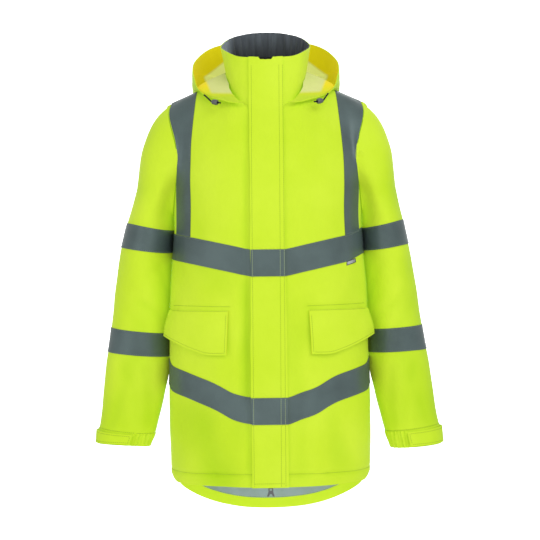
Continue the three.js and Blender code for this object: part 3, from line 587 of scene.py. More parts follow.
def subdivided(piece, level):
    """Bakes a Catmull-Clark subdivision into the piece's own mesh, which still goes through its points."""
    if level:
        modifier = piece.modifiers.new("Subdivision", "SUBSURF")
        modifier.levels = modifier.render_levels = level
        own = read_points(piece.data)
        drawn_in = evaluated_mesh(piece)
        write_points(piece.data, own + (own - read_points(drawn_in)[:len(own)]))
        bpy.data.meshes.remove(drawn_in)
        mesh = evaluated_mesh(piece)
        piece.modifiers.clear()
        old = piece.data
        piece.data = mesh
        bpy.data.meshes.remove(old)
        mesh.name = piece.name
    piece.data.shade_smooth()
    return piece


def refined(piece, longest):
    """Halves the edges that are too long to carry a fold."""
    bm = bmesh.new()
    bm.from_mesh(piece.data)
    for _ in range(3):
        long_edges = [e for e in bm.edges if e.calc_length() > longest]
        if not long_edges:
            break
        bmesh.ops.subdivide_edges(bm, edges=long_edges, cuts=1, use_grid_fill=True)
    bm.to_mesh(piece.data)
    bm.free()
    return piece


def shade_by_angle(piece, angle=40):
    bm = bmesh.new()
    bm.from_mesh(piece.data)
    for edge in bm.edges:
        edge.smooth = not (len(edge.link_faces) == 2 and edge.calc_face_angle(0) > math.radians(angle))
    bm.to_mesh(piece.data)
    bm.free()


def mark_hollows(mesh, fold):
    """Folds a mesh. How deep each point sank, in mm, becomes the attribute that masks the painted shade of
    its hollows.
    """
    points = read_points(mesh)
    normals = np.empty(points.size)
    mesh.vertices.foreach_get("normal", normals)
    folded = fold(points)
    sunk = -np.einsum("ij,ij->i", folded - points, normals.reshape(-1, 3)) / MM
    mesh.attributes.new("hollow_painted_shade", "FLOAT", "POINT").data.foreach_set("value", sunk)
    write_points(mesh, folded)


def cloth(node, name, level=None, crease_angle=55, fold=None, longest=0.006):
    """A cloth panel: the node's form, smoothed, with its folds."""
    bm = merged_copy(node)
    crease_rims(bm, crease_angle)
    piece = subdivided(object_from(bm, name), settings().cloth.smoothness if level is None else level)
    if fold:
        refined(piece, longest)
        mark_hollows(piece.data, fold)
    piece.data.shade_smooth()
    shade_by_angle(piece)
    return piece


def pushed_clear(piece, skin, gap, reach):
    """Keeps the piece's points off the cloth behind it."""
    points = read_points(piece.data)
    for i, point in enumerate(points):
        hit, normal, _, _ = skin.find_nearest(Vector(point), reach)
        if hit is not None:
            depth = (Vector(point) - hit).dot(normal)
            if depth < gap:
                points[i] = point + np.array(normal) * (gap - depth)
    write_points(piece.data, points)


def dress(piece, material, slot, *nodes):
    """Gives a finished piece its material and its body, and hides the nodes that it stands for."""
    piece.data.materials.clear()
    piece.data.materials.append(material)
    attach(piece, "root")
    if nodes:
        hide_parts(*nodes)
    return piece


def sheet_near(piece, points):
    """The faces of the side of a cloth that lies nearest to some points."""
    bm = bmesh.new()
    bm.from_mesh(piece.data)
    bm.faces.ensure_lookup_table()
    tree = BVHTree.FromBMesh(bm)
    votes = {}
    for point in points:
        index = tree.find_nearest(Vector(point))[2]
        votes[index] = votes.get(index, 0) + 1
    sheets = []
    for start in sorted(votes, key=votes.get, reverse=True):
        if any(start in sheet for sheet in sheets):
            continue
        sheet, edge_of = {start}, [bm.faces[start]]
        while edge_of:
            for edge in edge_of.pop().edges:
                if edge.smooth:
                    for face in edge.link_faces:
                        if face.index not in sheet:
                            sheet.add(face.index)
                            edge_of.append(face)
        sheets.append(sheet)
    bm.free()
    return max(sheets, key=lambda sheet: sum(votes.get(i, 0) for i in sheet))


def outward_patch(pieces, way, least=0.25):
    """Points and faces of the pieces' outward side. way gives the way out at some points."""
    points, faces = [], []
    for piece in pieces:
        mesh = piece.data
        centres = np.empty(len(mesh.polygons) * 3)
        normals = np.empty(len(mesh.polygons) * 3)
        mesh.polygons.foreach_get("center", centres)
        mesh.polygons.foreach_get("normal", normals)
        facing = np.einsum("ij,ij->i", normals.reshape(-1, 3), way(centres.reshape(-1, 3)))
        base = len(points)
        points.extend(map(tuple, read_points(mesh)))
        faces.extend(tuple(base + v for v in p.vertices) for p, f in zip(mesh.polygons, facing) if f > least)
    return points, faces


def outer_skin(pieces, way, least=0.25):
    return BVHTree.FromPolygons(*outward_patch(pieces, way, least))


def piece_named(name):
    return bpy.data.objects[name]


def torso_skin():
    """The outward side of the fronts and the back."""
    return outer_skin([piece_named(f"{n}_panel") for n in ("front_left", "front_right", "back")], torso_way)


def patch_rims(points, faces):
    """Closed rounds of points along the patch's border."""
    used = {}
    for face in faces:
        for a, b in zip(face, face[1:] + face[:1]):
            used[frozenset((a, b))] = None if frozenset((a, b)) in used else (a, b)
    following = dict(pair for pair in used.values() if pair)
    rounds = []
    while following:
        start, here = following.popitem()
        line = [start]
        while here != start and here in following:
            line.append(here)
            here = following.pop(here)
        if len(line) > 20:
            rounds.append(np.array([points[i] for i in line]))
    return rounds


class Threads:
    """Collects rows of stitches and makes them into one piece."""

    def __init__(self):
        self.places = []

    def row(self, route, skin, lift=0.0):
        """Stitches along a route of points, on the skin."""
        if len(route) < 2:
            return
        route = np.asarray(route, float)
        steps = np.linalg.norm(np.diff(route, axis=0), axis=1)
        along = np.concatenate([[0], np.cumsum(steps)])
        pitch = settings().stitch.pitch
        places = np.arange(0.5 * pitch, along[-1], pitch)
        spots = np.stack([np.interp(places, along, route[:, k]) for k in range(3)], 1)
        ahead = np.stack([np.interp(places + 0.3 * pitch, along, route[:, k]) for k in range(3)], 1)
        for spot, then in zip(spots, ahead):
            hit, normal, _, _ = skin.find_nearest(Vector(spot))
            run = Vector(then - spot)
            run -= run.dot(normal) * normal
            if run.length > 1e-6:
                self.places.append((hit + normal * lift, run.normalized(), normal))

    def front_row(self, ends, skin, steps=60):
        """Stitches along a straight line of the front view, between two (across, up) ends in mm."""
        route = []
        for share in np.linspace(0, 1, steps):
            x, z = (np.array(ends[0]) * (1 - share) + np.array(ends[1]) * share) * MM
            hit = skin.ray_cast(Vector((x, -1, z)), Vector((0, 1, 0)))[0]
            if hit is not None:
                route.append(hit)
        self.row(route, skin)

    def rim(self, pieces, way, inset, keep=None, least=0.25):
        """Stitches at an inset from the rim of the pieces' outward side, where keep allows them."""
        points, faces = outward_patch(pieces, way, least)
        skin = BVHTree.FromPolygons(points, faces)
        for line in patch_rims(points, faces):
            around = np.roll(line, -1, 0) - np.roll(line, 1, 0)
            border = KDTree(len(line))
            for i, point in enumerate(line):
                border.insert(point, i)
            border.balance()
            route = []
            for point, run in zip(line, around):
                _, normal, _, _ = skin.find_nearest(Vector(point))
                inward = normal.cross(Vector(run))
                spot, _, _, _ = skin.find_nearest(Vector(point) + inward.normalized() * inset)
                near = not route or (spot - route[-1]).length < 0.02
                if near and border.find(spot)[2] > 0.9 * inset and (keep is None or keep(spot / MM)):
                    route.append(spot)
                else:
                    self.row(route, skin)
                    route = []
            self.row(route, skin)

    def piece(self, name, material, slot):
        stitch = settings().stitch
        shape = bmesh.new()
        bmesh.ops.create_cone(
            shape, cap_ends=True, segments=5, radius1=0.7 * stitch.thread, radius2=0.7 * stitch.thread,
            depth=stitch.length)
        bmesh.ops.bisect_plane(
            shape, geom=shape.verts[:] + shape.edges[:] + shape.faces[:],
            plane_co=(0, 0, 0), plane_no=(0, 0, 1))
        for vert in shape.verts:
            if abs(vert.co.z) < 1e-6:
                vert.co *= 1.5
        shape.verts.index_update()
        corners = np.array([v.co for v in shape.verts])
        sides = [tuple(v.index for v in f.verts) for f in shape.faces]
        shape.free()
        points, faces = [], []
        for k, (spot, run, normal) in enumerate(self.places):
            turn = np.array((normal.cross(run), normal, run)).T
            points.append(corners @ turn.T + np.array(spot))
            faces.extend(tuple(k * len(corners) + v for v in side) for side in sides)
        mesh = bpy.data.meshes.new(name)
        mesh.from_pydata(np.concatenate(points).tolist(), [], faces)
        piece = bpy.data.objects.new(name, mesh)
        bpy.context.scene.collection.objects.link(piece)
        mesh.shade_smooth()
        return dress(piece, material, slot)


def shoulder_way(points):
    """Way out of the torso and up over the shoulders."""
    across, out, up = points.T
    return np.stack([0.35 * across / TORSO_HALF[0], out / TORSO_HALF[1], np.clip(up + 0.09, 0, 1) * 12], 1)


def sleeve_way(side):
    def way(points):
        out = np.zeros_like(points)
        out[:, :2] = points[:, :2] - sleeve_centre(points[:, 2] / MM, side)
        return unit(out)
    return way


def laid_strip(node, name, skin, stand, thickness, level=3, sway=None):
    """A strip sewn on cloth: the node's strip, smoothed and laid on the folded cloth under it."""
    bm = merged_copy(node)
    crease_rims(bm, 50)
    outer = bm.verts.layers.float.new("outer")
    for vert in bm.verts:
        _, normal, _, _ = skin.find_nearest(vert.co)
        facing = [f.normal.dot(normal) for f in vert.link_faces]
        vert[outer] = float(max(facing) > 0.8 and min(facing) > -0.5)
    piece = subdivided(object_from(bm, name), level)
    mesh = piece.data
    side = np.empty(len(mesh.vertices), np.float32)
    mesh.attributes["outer"].data.foreach_get("value", side)
    points = read_points(mesh)
    if sway:
        points = sway(points)
    for i, point in enumerate(points):
        hit, normal, _, _ = skin.find_nearest(Vector(point))
        points[i] = hit + normal * (stand + thickness * float(side[i]))
    write_points(mesh, points)
    shade_by_angle(piece)
    return piece


# Materials
def tinted(colour, share):
    return tuple(min(1, share * c) for c in colour)


class Finish:
    """A new material, and the nodes that make its look."""

    def __init__(self, name):
        self.material = bpy.data.materials.new(name)
        self.material.use_nodes = True
        self.nodes = self.material.node_tree.nodes
        self.links = self.material.node_tree.links
        self.shader = self.nodes["Principled BSDF"]
        self.place = self.add("ShaderNodeTexCoord").outputs["Object"]

    def add(self, kind, **values):
        """A node, with values for its sockets and its settings."""
        node = self.nodes.new(kind)
        for key, value in values.items():
            if key in node.inputs:
                node.inputs[key].default_value = value
            else:
                setattr(node, key, value)
        return node

    def feed(self, socket, value):
        """Gives a socket a node's output, a number or a colour."""
        if isinstance(value, bpy.types.NodeSocket):
            self.links.new(value, socket)
        elif isinstance(value, (int, float)):
            socket.default_value = value
        else:
            socket.default_value = (*value, 1)

    def show(self, values):
        """Feeds the shader's own sockets, by their names."""
        for name, value in values.items():
            self.feed(self.shader.inputs[name], value)

    def maths(self, operation, first, second):
        node = self.add("ShaderNodeMath", operation=operation)
        self.feed(node.inputs[0], first)
        self.feed(node.inputs[1], second)
        return node.outputs[0]

    def mixed(self, factor, first, second):
        """A colour between two, by a factor."""
        mix = self.add("ShaderNodeMix", data_type="RGBA")
        for index, value in ((0, factor), (6, first), (7, second)):
            self.feed(mix.inputs[index], value)
        return mix.outputs[2]

    def ramp(self, value, low, high):
        node = self.add("ShaderNodeMapRange", **{"From Min": low, "From Max": high})
        self.links.new(value, node.inputs["Value"])
        return node.outputs["Result"]

    def noise(self, place, scale, detail=2):
        node = self.add("ShaderNodeTexNoise", Scale=scale, Detail=detail)
        self.links.new(place, node.inputs["Vector"])
        return node.outputs["Fac"]

    def woven(self, pitch):
        """Height of a plain weave: ridges two ways."""
        total = 0
        for turn in (0, math.pi / 2):
            lean = self.add("ShaderNodeMapping", Rotation=(0.12, turn, 0.1))
            self.links.new(self.place, lean.inputs["Vector"])
            wave = self.add("ShaderNodeTexWave", wave_type="BANDS", bands_direction="X",
                            Scale=0.314 / pitch, Distortion=0.6)
            self.links.new(lean.outputs[0], wave.inputs["Vector"])
            total = self.maths("ADD", wave.outputs["Fac"], total)
        return total

    def bumped(self, height, strength, distance):
        bump = self.add("ShaderNodeBump", Strength=strength, Distance=distance)
        self.links.new(height, bump.inputs["Height"])
        self.links.new(bump.outputs[0], self.shader.inputs["Normal"])


def cloth_finish(name, colour, shade, roughness=0.62, glow=0.0, hollow_painted_shade=None):
    """Woven cloth with an uneven dye, which may take a painted shade in its hollows and a painted glow of its
    own colour.
    """
    finish = Finish(name)
    broad = finish.ramp(finish.noise(finish.place, 7, 3), 0.35, 0.68)
    fine = finish.noise(finish.place, 90, 4)
    dye = finish.mixed(finish.maths("ADD", broad, finish.maths("MULTIPLY", fine, 0.25)), shade, colour)
    # Painted shade: the cloth turns to the deeper tone where its folds sank
    if hollow_painted_shade:
        sunk = finish.add("ShaderNodeAttribute", attribute_name="hollow_painted_shade").outputs["Fac"]
        dye = finish.mixed(finish.ramp(sunk, 0.4, 8), dye, hollow_painted_shade)
    weave = finish.maths("MULTIPLY", finish.woven(settings().cloth.weave), 0.25)
    finish.bumped(finish.maths("ADD", weave, finish.maths("MULTIPLY", fine, 2.4)), 0.35, 0.0009)
    spread = finish.add("ShaderNodeMapRange", **{"To Min": roughness - 0.06, "To Max": roughness + 0.08})
    finish.links.new(finish.ramp(fine, 0.2, 0.8), spread.inputs["Value"])
    finish.show({
        "Base Color": dye, "Roughness": spread.outputs["Result"],
        "Sheen Weight": 0.05, "Specular IOR Level": 0.2,
    })
    # Painted light: the cloth glows in its own colour, though it is no lamp
    if glow:
        finish.show({"Emission Color": colour, "Emission Strength": glow})
    return finish


def tape_finish(name, colour):
    """Grey tape with a fine pattern of reflective cells."""
    finish = Finish(name)
    cells = finish.add("ShaderNodeTexVoronoi", Scale=1 / settings().tape.beads)
    finish.links.new(finish.place, cells.inputs["Vector"])
    broad = finish.ramp(finish.noise(finish.place, 14, 3), 0.3, 0.7)
    tone = finish.maths("ADD", broad, finish.maths("MULTIPLY", cells.outputs["Distance"], 0.35))
    finish.bumped(cells.outputs["Distance"], 0.25, 0.0003)
    finish.show({
        "Base Color": finish.mixed(tone, tinted(colour, 0.82), tinted(colour, 1.16)),
        "Roughness": 0.42, "Metallic": 0.25, "Specular IOR Level": 0.4,
    })
    return finish


def hood_inside_finish(name):
    """The pale lining of the hood's sides, framed by its facing: painted gold shade up high, painted glow
    there and deep inside.
    """
    s = settings()
    finish = cloth_finish(name, s.lining.hood, tinted(s.lining.hood, 0.95), 0.75)
    lining = finish.shader.inputs["Base Color"].links[0].from_socket
    spot = finish.add("ShaderNodeSeparateXYZ")
    finish.links.new(finish.place, spot.inputs[0])
    across = finish.maths("ABSOLUTE", spot.outputs["X"], 0)
    up = spot.outputs["Z"]

    def seam_line(seam, along):
        slope, rise = HOOD_LINING_SEAMS[seam]
        return finish.maths("ADD", finish.maths("MULTIPLY", along, slope), rise)

    def beyond(far, near):
        return finish.ramp(finish.maths("SUBTRACT", far, near), -0.003, 0.003)

    below = beyond(seam_line("top", across), up)
    within = beyond(seam_line("front", up), across)
    above = beyond(up, seam_line("foot", across))
    pale = finish.maths("MULTIPLY", finish.maths("MULTIPLY", below, within), above)
    # Painted shade: the turned-in cloth turns from the shell's colour to the gold facing tone up high, where
    # it lies in shade
    high = finish.ramp(up, -0.012, 0.018)
    turned_in_painted_shade = finish.mixed(high, s.cloth.colour, s.cloth.facing)
    # Painted light: a glow on the gold upper facing, and on the pale lining deep inside the hood, lifting
    # their shade
    facing_painted_glow_mask = finish.maths("MULTIPLY", finish.maths("SUBTRACT", 1, pale), high)
    deep = finish.maths("MULTIPLY", pale, finish.ramp(spot.outputs["Y"], 0.05, 0.1))
    light = finish.mixed(deep, finish.mixed(facing_painted_glow_mask, (0, 0, 0), s.cloth.facing), DEEP_LINING_PAINTED_LIGHT)
    finish.show({
        "Base Color": finish.mixed(pale, turned_in_painted_shade, lining),
        "Emission Color": light, "Emission Strength": s.cloth.glow,
    })
    return finish


def fleece_finish(name, colour, scale=900, strength=0.6, lit=(-0.9, -1), deep=(-0.9, -1)):
    """Soft fibres in upright streaks, with a painted highlight pale across lit and a painted shade dark up
    deep, in metres.
    """
    finish = Finish(name)
    fuzz = finish.noise(finish.place, scale, 5)
    upright = finish.add("ShaderNodeMapping", Scale=(1, 1, 0.1))
    finish.links.new(finish.place, upright.inputs["Vector"])
    streaks = finish.ramp(finish.noise(upright.outputs[0], 110), 0.3, 0.7)
    tone = finish.maths("ADD", finish.maths("MULTIPLY", fuzz, 0.3), finish.maths("MULTIPLY", streaks, 0.7))
    spot = finish.add("ShaderNodeSeparateXYZ")
    finish.links.new(finish.place, spot.inputs[0])
    # Painted highlight: the fibres turn pale across the lit range of X
    pale = finish.ramp(spot.outputs["X"], *lit)
    fibres = finish.mixed(tone, tinted(colour, 0.55), tinted(colour, 1.5))
    fibres = finish.mixed(finish.maths("MULTIPLY", pale, 0.8), fibres, tinted(colour, 3.4))
    # Painted shade: the fibres turn dark down the deep range of Z, less where they are lit
    depth = finish.maths("MULTIPLY", finish.ramp(spot.outputs["Z"], *deep), 0.8)
    shadow = finish.maths("MULTIPLY", depth, finish.maths("SUBTRACT", 1, pale))
    finish.bumped(fuzz, strength, 0.0008)
    finish.show({
        "Base Color": finish.mixed(shadow, fibres, tinted(colour, 0.12)),
        "Roughness": 0.95, "Sheen Weight": 0.2, "Sheen Roughness": 0.5,
    })
    return finish


def moulded_finish(name, colour, roughness, shine=0.5):
    finish = Finish(name)
    grain = finish.noise(finish.place, 1400)
    finish.bumped(grain, 0.2, 0.0002)
    finish.show({
        "Base Color": finish.mixed(grain, tinted(colour, 0.8), colour),
        "Roughness": roughness, "Specular IOR Level": shine,
    })
    return finish


def braid_finish(name, colour):
    finish = Finish(name)
    strands = finish.woven(0.0009)
    finish.bumped(strands, 0.6, 0.0004)
    finish.show({
        "Base Color": finish.mixed(strands, tinted(colour, 0.6), tinted(colour, 1.6)),
        "Roughness": 0.8, "Specular IOR Level": 0.1,
    })
    return finish


def material_named(name):
    """Each finish, made on first use."""
    made = bpy.data.materials.get(name)
    if made:
        return made
    s = settings()
    return {
        # The shell takes a painted shade in its hollows and a painted glow of its own colour
        "shell cloth": lambda: cloth_finish(
            name, s.cloth.colour, s.cloth.shade, glow=s.cloth.painted_fluorescent_glow, hollow_painted_shade=s.cloth.hollow_painted_shade),
        "painted shade cloth": lambda: cloth_finish(name, s.cloth.facing, s.cloth.facing),
        "hood inside": lambda: hood_inside_finish(name),
        "label face": lambda: fleece_finish(name, LABEL_FACE, 1500, 0.3),
        "back lining": lambda: cloth_finish(name, s.lining.back, tinted(s.lining.back, 0.85), 0.5),
        # The fleece's left side takes a painted highlight, and its deep part a painted shade
        "collar fleece": lambda: fleece_finish(
            name, s.lining.fleece, lit=(-0.064, -0.08), deep=(0.134, 0.09)),
        "reflective tape": lambda: tape_finish(name, s.tape.colour),
        "moulded plastic": lambda: moulded_finish(name, s.trim.plastic, 0.38),
        "zip": lambda: moulded_finish(name, s.trim.cord, 0.7, 0.1),
        "label": lambda: fleece_finish(name, s.trim.label, 1500, 0.3),
        "elastic cord": lambda: braid_finish(name, s.trim.cord),
        "cloth thread": lambda: moulded_finish(name, s.stitch.colour, 0.7),
        "tape thread": lambda: moulded_finish(name, s.stitch.pale, 0.7),
        "pale thread": lambda: moulded_finish(name, PALE_THREAD, 0.7),
        # Painted light: the back's turned hem glows more, lifting the shade inside the tail
        "turned hem painted glow": lambda: cloth_finish(name, s.cloth.colour, s.cloth.shade, glow=1.5 * s.cloth.glow),
    }[name]().material


# Steps
def smooth_route(points, steps):
    """Points along a smooth line through the given ones."""
    knots = [Vector(p) for p in points]
    route = []
    for i in range(len(knots) - 1):
        a, b, c, d = (knots[min(max(0, k), len(knots) - 1)] for k in (i - 1, i, i + 1, i + 2))
        for s in range(steps):
            t = s / steps
            route.append(b + 0.5 * t * (c - a + t * (2 * a - 5 * b + 4 * c - d + t * (3 * (b - c) + d - a))))
    return [*route, knots[-1]]


class JACKET_OT_stage(bpy.types.Operator):
    """Sets the camera, the pale floor and the soft studio light"""

    bl_idname = "jacket.stage"
    bl_label = "Stage"

    def execute(self, context):
        stage = settings().stage
        data = bpy.data.cameras.new("Camera")
        data.lens = stage.lens
        data.sensor_width = 36
        camera = bpy.data.objects.new("Camera", data)
        camera.location = (stage.side, -stage.distance, stage.height)
        camera.rotation_euler = (math.pi / 2, stage.roll, 0)
        context.scene.collection.objects.link(camera)
        context.scene.camera = camera

        for name, size, matrix, tone, glow in (
            ("Floor", 12, Matrix.Translation((0, 0, -1.6)), stage.floor, 0),
            ("Backdrop", 1.9, Matrix.Translation((0, 3.3, 0.3)) @ Matrix.Rotation(math.pi / 2, 4, "X"),
             (1, 1, 1), 1.05),
        ):
            bm = bmesh.new()
            bmesh.ops.create_grid(bm, x_segments=8, y_segments=8, size=size, matrix=matrix)
            sheet = object_from(bm, name)
            finish = Finish(f"studio {name.lower()}")
            speckle = finish.noise(finish.place, 3)
            finish.show({
                "Base Color": finish.mixed(speckle, tinted(tone, 0.99), tone),
                "Roughness": 0.9, "Emission Color": tone, "Emission Strength": glow,
            })
            sheet.data.materials.append(finish.material)

        for name, power, size, place, aim in (
            ("Key light", stage.key, 2.2, (1.5, -2.3, 1.5), (0, 0, -0.3)),
            ("Fill light", stage.fill, 2.6, (-2.2, -2.0, 0.2), (0, 0, -0.4)),
            ("Back light", 10, 2.4, (0.6, 2.6, 1.6), (0, 0, -0.3)),
            ("Low light", 6, 1.6, (0, -2.2, -1.4), (0, 0.1, -0.7)),
        ):
            light_data = bpy.data.lights.new(name, "AREA")
            light_data.energy = power
            light_data.size = size
            light = bpy.data.objects.new(name, light_data)
            light.location = place
            light.visible_camera = False
            light.rotation_euler = (Vector(aim) - Vector(place)).to_track_quat("-Z", "Y").to_euler()
            context.scene.collection.objects.link(light)

        world = bpy.data.worlds.new("Studio")
        world.use_nodes = True
        background = world.node_tree.nodes["Background"]
        background.inputs["Color"].default_value = (1, 1, 1, 1)
        background.inputs["Strength"].default_value = stage.world
        context.scene.world = world
        context.scene.view_settings.view_transform = "Standard"
        return {"FINISHED"}


class JACKET_OT_cords(bpy.types.Operator):
    """Makes the elastic cord and the cord lock on each side of the hood's opening"""

    bl_idname = "jacket.cords"
    bl_label = "Cords and cord locks"

    def execute(self, context):
        trim = settings().trim
        for side, sign in SIDES.items():
            drop = Vector(LOCK_DROP[sign])
            route = [
                (Vector((sign * x, y, z)) + drop * min(1, i / 3)) * MM
                for i, (x, y, z) in enumerate(CORD_ROUTE)
            ]
            route = smooth_route(route, 4)
            curve = bpy.data.curves.new(f"elastic_cord_{side}", "CURVE")
            curve.dimensions = "3D"
            curve.bevel_depth = trim.cord_diameter / 2
            curve.bevel_resolution = 4
            curve.use_fill_caps = True
            spline = curve.splines.new("POLY")
            spline.points.add(len(route) - 1)
            for point, place in zip(spline.points, route):
                point.co = (*place, 1)
            cord = bpy.data.objects.new(f"elastic_cord_{side}", curve)
            context.scene.collection.objects.link(cord)
            curve.materials.append(material_named("elastic cord"))
            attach(cord, "root")
            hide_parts(f"cord_{side}")

            bm = merged_copy(f"toggle_{side}")
            crease_rims(bm, 70)
            lock = subdivided(object_from(bm, f"cord_lock_{side}"), 2)
            shade_by_angle(lock, 45)
            write_points(lock.data, read_points(lock.data) + np.array(drop) * MM)
            dress(lock, material_named("moulded plastic"), "grey_plastic", f"toggle_{side}")
        return {"FINISHED"}


class JACKET_OT_body(bpy.types.Operator):
    """Makes the fronts and the back, with their folds"""

    bl_idname = "jacket.body"
    bl_label = "Fronts and back"

    def execute(self, context):
        for node, width, length, area, longest in (
            ("front_left", 0.33, 0.81, 0.2, 0.0042), ("front_right", 0.33, 0.81, 0.2, 0.0042),
            ("back", 0.58, 0.92, 0.41, 0.006),
        ):
            piece = cloth(node, f"{node}_panel", fold=fold_torso, longest=longest)
            dress(piece, material_named("shell cloth"), "shell", node)
            if node == "back":
                # The back's turned hem, below its lining, takes a cloth with painted light that lifts its
                # shade
                piece.data.materials.append(material_named("turned hem painted glow"))
                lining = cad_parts["back_lining"].data.vertices
                for index in sheet_near(piece, [v.co for v in lining][::10]):
                    piece.data.polygons[index].material_index = 1
        return {"FINISHED"}


class JACKET_OT_sleeves(bpy.types.Operator):
    """Makes the sleeves, with the creases at the elbow and the armhole"""

    bl_idname = "jacket.sleeves"
    bl_label = "Sleeves"

    def execute(self, context):
        torso = torso_skin()
        for side, sign in SIDES.items():
            piece = cloth(f"sleeve_{side}", f"sleeve_{side}_panel",
                          fold=lambda p, s=sign: fold_sleeve(p, s), longest=0.0045)
            pushed_clear(piece, torso, 0.0016, 0.012)
            dress(piece, material_named("shell cloth"), "shell", f"sleeve_{side}")
        return {"FINISHED"}


class JACKET_OT_cuffs(bpy.types.Operator):
    """Makes the gathered cuffs and their pull tabs"""

    bl_idname = "jacket.cuffs"
    bl_label = "Cuffs"

    def execute(self, context):
        for side, sign in SIDES.items():
            cuff = cloth(f"cuff_{side}", f"cuff_{side}_band", level=2, crease_angle=76,
                         fold=lambda p, s=sign: gather_cuff(p, s), longest=0.0024)
            dress(cuff, material_named("shell cloth"), "shell", f"cuff_{side}")
            tab = cloth(f"cuff_tab_{side}", f"cuff_{side}_tab", level=3, fold=lambda p, s=sign: fit_tab(p, s))
            dress(tab, material_named("shell cloth"), "shell", f"cuff_tab_{side}")
        return {"FINISHED"}


class JACKET_OT_collar(bpy.types.Operator):
    """Makes the stand collar and its gathered fleece lining"""

    bl_idname = "jacket.collar"
    bl_label = "Collar"

    def execute(self, context):
        collar = cloth("collar", "stand_collar", fold=fold_collar)
        dress(collar, material_named("shell cloth"), "shell", "collar")
        lining = cloth("collar_lining", "collar_fleece", crease_angle=62, fold=rib_fleece, longest=0.003)
        dress(lining, material_named("collar fleece"), "collar_fleece", "collar_lining")
        fleece = read_points(lining.data)
        beside = np.abs(np.abs(fleece[:, 0] / MM - NOTCH["across"]) - NOTCH["half_width"] - 6) < 4
        lip = fleece[beside & (fleece[:, 1] < 0)]
        lip = lip[lip[:, 2].argmax()]
        bm = bmesh.new()
        bmesh.ops.create_cube(bm, size=1)
        bmesh.ops.scale(bm, verts=bm.verts, vec=ZIP_GUARD["size"])
        bmesh.ops.bevel(bm, geom=bm.edges[:], offset=ZIP_GUARD["bevel"], offset_type="OFFSET", segments=2,
                        profile=0.5, affect="EDGES", material=-1)
        place = (NOTCH["across"] * MM, lip[1] + ZIP_GUARD["behind"], lip[2] - ZIP_GUARD["below"])
        bmesh.ops.translate(bm, verts=bm.verts, vec=place)
        dress(object_from(bm, "zip_guard"), material_named("zip"), "zip_black")
        return {"FINISHED"}


class JACKET_OT_hood(bpy.types.Operator):
    """Makes the folded-back hood, its facing and its lining"""

    bl_idname = "jacket.hood"
    bl_label = "Hood"

    def execute(self, context):
        lining = cloth("hood_lining", "hood_inside", level=2, fold=draw_in_hood)
        dress(lining, material_named("hood inside"), "pale_lining", "hood_lining")
        inner = read_points(lining.data)
        for side, sign in SIDES.items():
            hood = cloth(f"hood_{side}", f"hood_shell_{side}", level=3, fold=draw_in_hood)
            dress(hood, material_named("shell cloth"), "shell", f"hood_{side}")
            hood.data.materials.append(material_named("hood inside"))
            for index in sheet_near(hood, inner[inner[:, 0] * sign > 0.01][::20]):
                hood.data.polygons[index].material_index = 1
        return {"FINISHED"}


class JACKET_OT_back_lining(bpy.types.Operator):
    """Makes the back's lining, which shows below the front hem"""

    bl_idname = "jacket.back_lining"
    bl_label = "Back lining"

    def execute(self, context):
        piece = cloth("back_lining", "back_lining_panel", level=3, fold=quilt)
        dress(piece, material_named("back lining"), "grey_lining", "back_lining")
        return {"FINISHED"}


class JACKET_OT_closure(bpy.types.Operator):
    """Makes the storm flap, the zip behind it and the zip's pull"""

    bl_idname = "jacket.closure"
    bl_label = "Storm flap and zip"

    def execute(self, context):
        flap = cloth("placket", "storm_flap", fold=fold_placket, longest=0.004)
        dress(flap, material_named("shell cloth"), "shell", "placket")
        zip_strip = cloth("zip", "zip_strip", level=2)
        dress(zip_strip, material_named("zip"), "zip_black", "zip")
        pull = cloth("zip_pull", "zip_puller", level=0)
        dress(pull, material_named("moulded plastic"), "grey_plastic", "zip_pull")
        return {"FINISHED"}


class JACKET_OT_flaps(bpy.types.Operator):
    """Makes the slanted pocket flaps, which stand off the fronts"""

    bl_idname = "jacket.flaps"
    bl_label = "Pocket flaps"

    def execute(self, context):
        for side, sign in SIDES.items():
            piece = cloth(f"flap_{side}", f"pocket_flap_{side}", level=3,
                          fold=lambda p, s=sign: fold_pocket_flap(p, s))
            dress(piece, material_named("shell cloth"), "shell", f"flap_{side}")
            # Painted shade: the flap's inner edge faces take the gold tone, where shade falls beside the flap
            piece.data.materials.append(material_named("painted shade cloth"))
            for face in piece.data.polygons:
                if face.normal.x * sign < -0.75:
                    face.material_index = 1
        return {"FINISHED"}


class JACKET_OT_tapes(bpy.types.Operator):
    """Lays the reflective tapes on the folded cloth"""

    bl_idname = "jacket.tapes"
    bl_label = "Reflective tapes"

    def execute(self, context):
        tape = settings().tape
        torso = torso_skin()
        placket = outer_skin([piece_named("storm_flap")], torso_way)
        jobs = [
            ("tape_chest", torso, (1.15, TAPE_CUT), sway_chest),
            ("tape_hip", torso, (1.22, TAPE_CUT), sway_hip),
            ("tape_placket_chest", placket, (0.07, TAPE_CUT), None),
            ("tape_placket_hip", placket, (0.073, TAPE_CUT), None),
        ]
        for side, sign in SIDES.items():
            sleeve = outer_skin([piece_named(f"sleeve_{side}_panel")], sleeve_way(sign))
            whole = outer_skin([piece_named(f"{n}_panel") for n in (f"front_{side}", "back")], shoulder_way)
            jobs.append((f"tape_shoulder_{side}", whole, (TAPE_CUT, 0.62), None))
            for level, width, inner, outer in (
                ("upper", 0.44, 10.5, 1.5 + 2 * sign), ("lower", 0.4, 2 + 2 * sign, 3),
            ):
                jobs.append((f"tape_sleeve_{level}_{side}", sleeve, (width, TAPE_CUT),
                             lambda p, s=sign, i=inner, o=outer: sway_sleeve(p, s, i, o)))
        for node, skin, flat, sway in jobs:
            stand = 0.0004 if "placket" in node else tape.stand
            name = node.replace("tape", "reflective")
            piece = laid_strip(node, name, skin, stand, tape.thickness, sway=sway)
            dress(piece, material_named("reflective tape"), "reflective_tape", node)
        return {"FINISHED"}


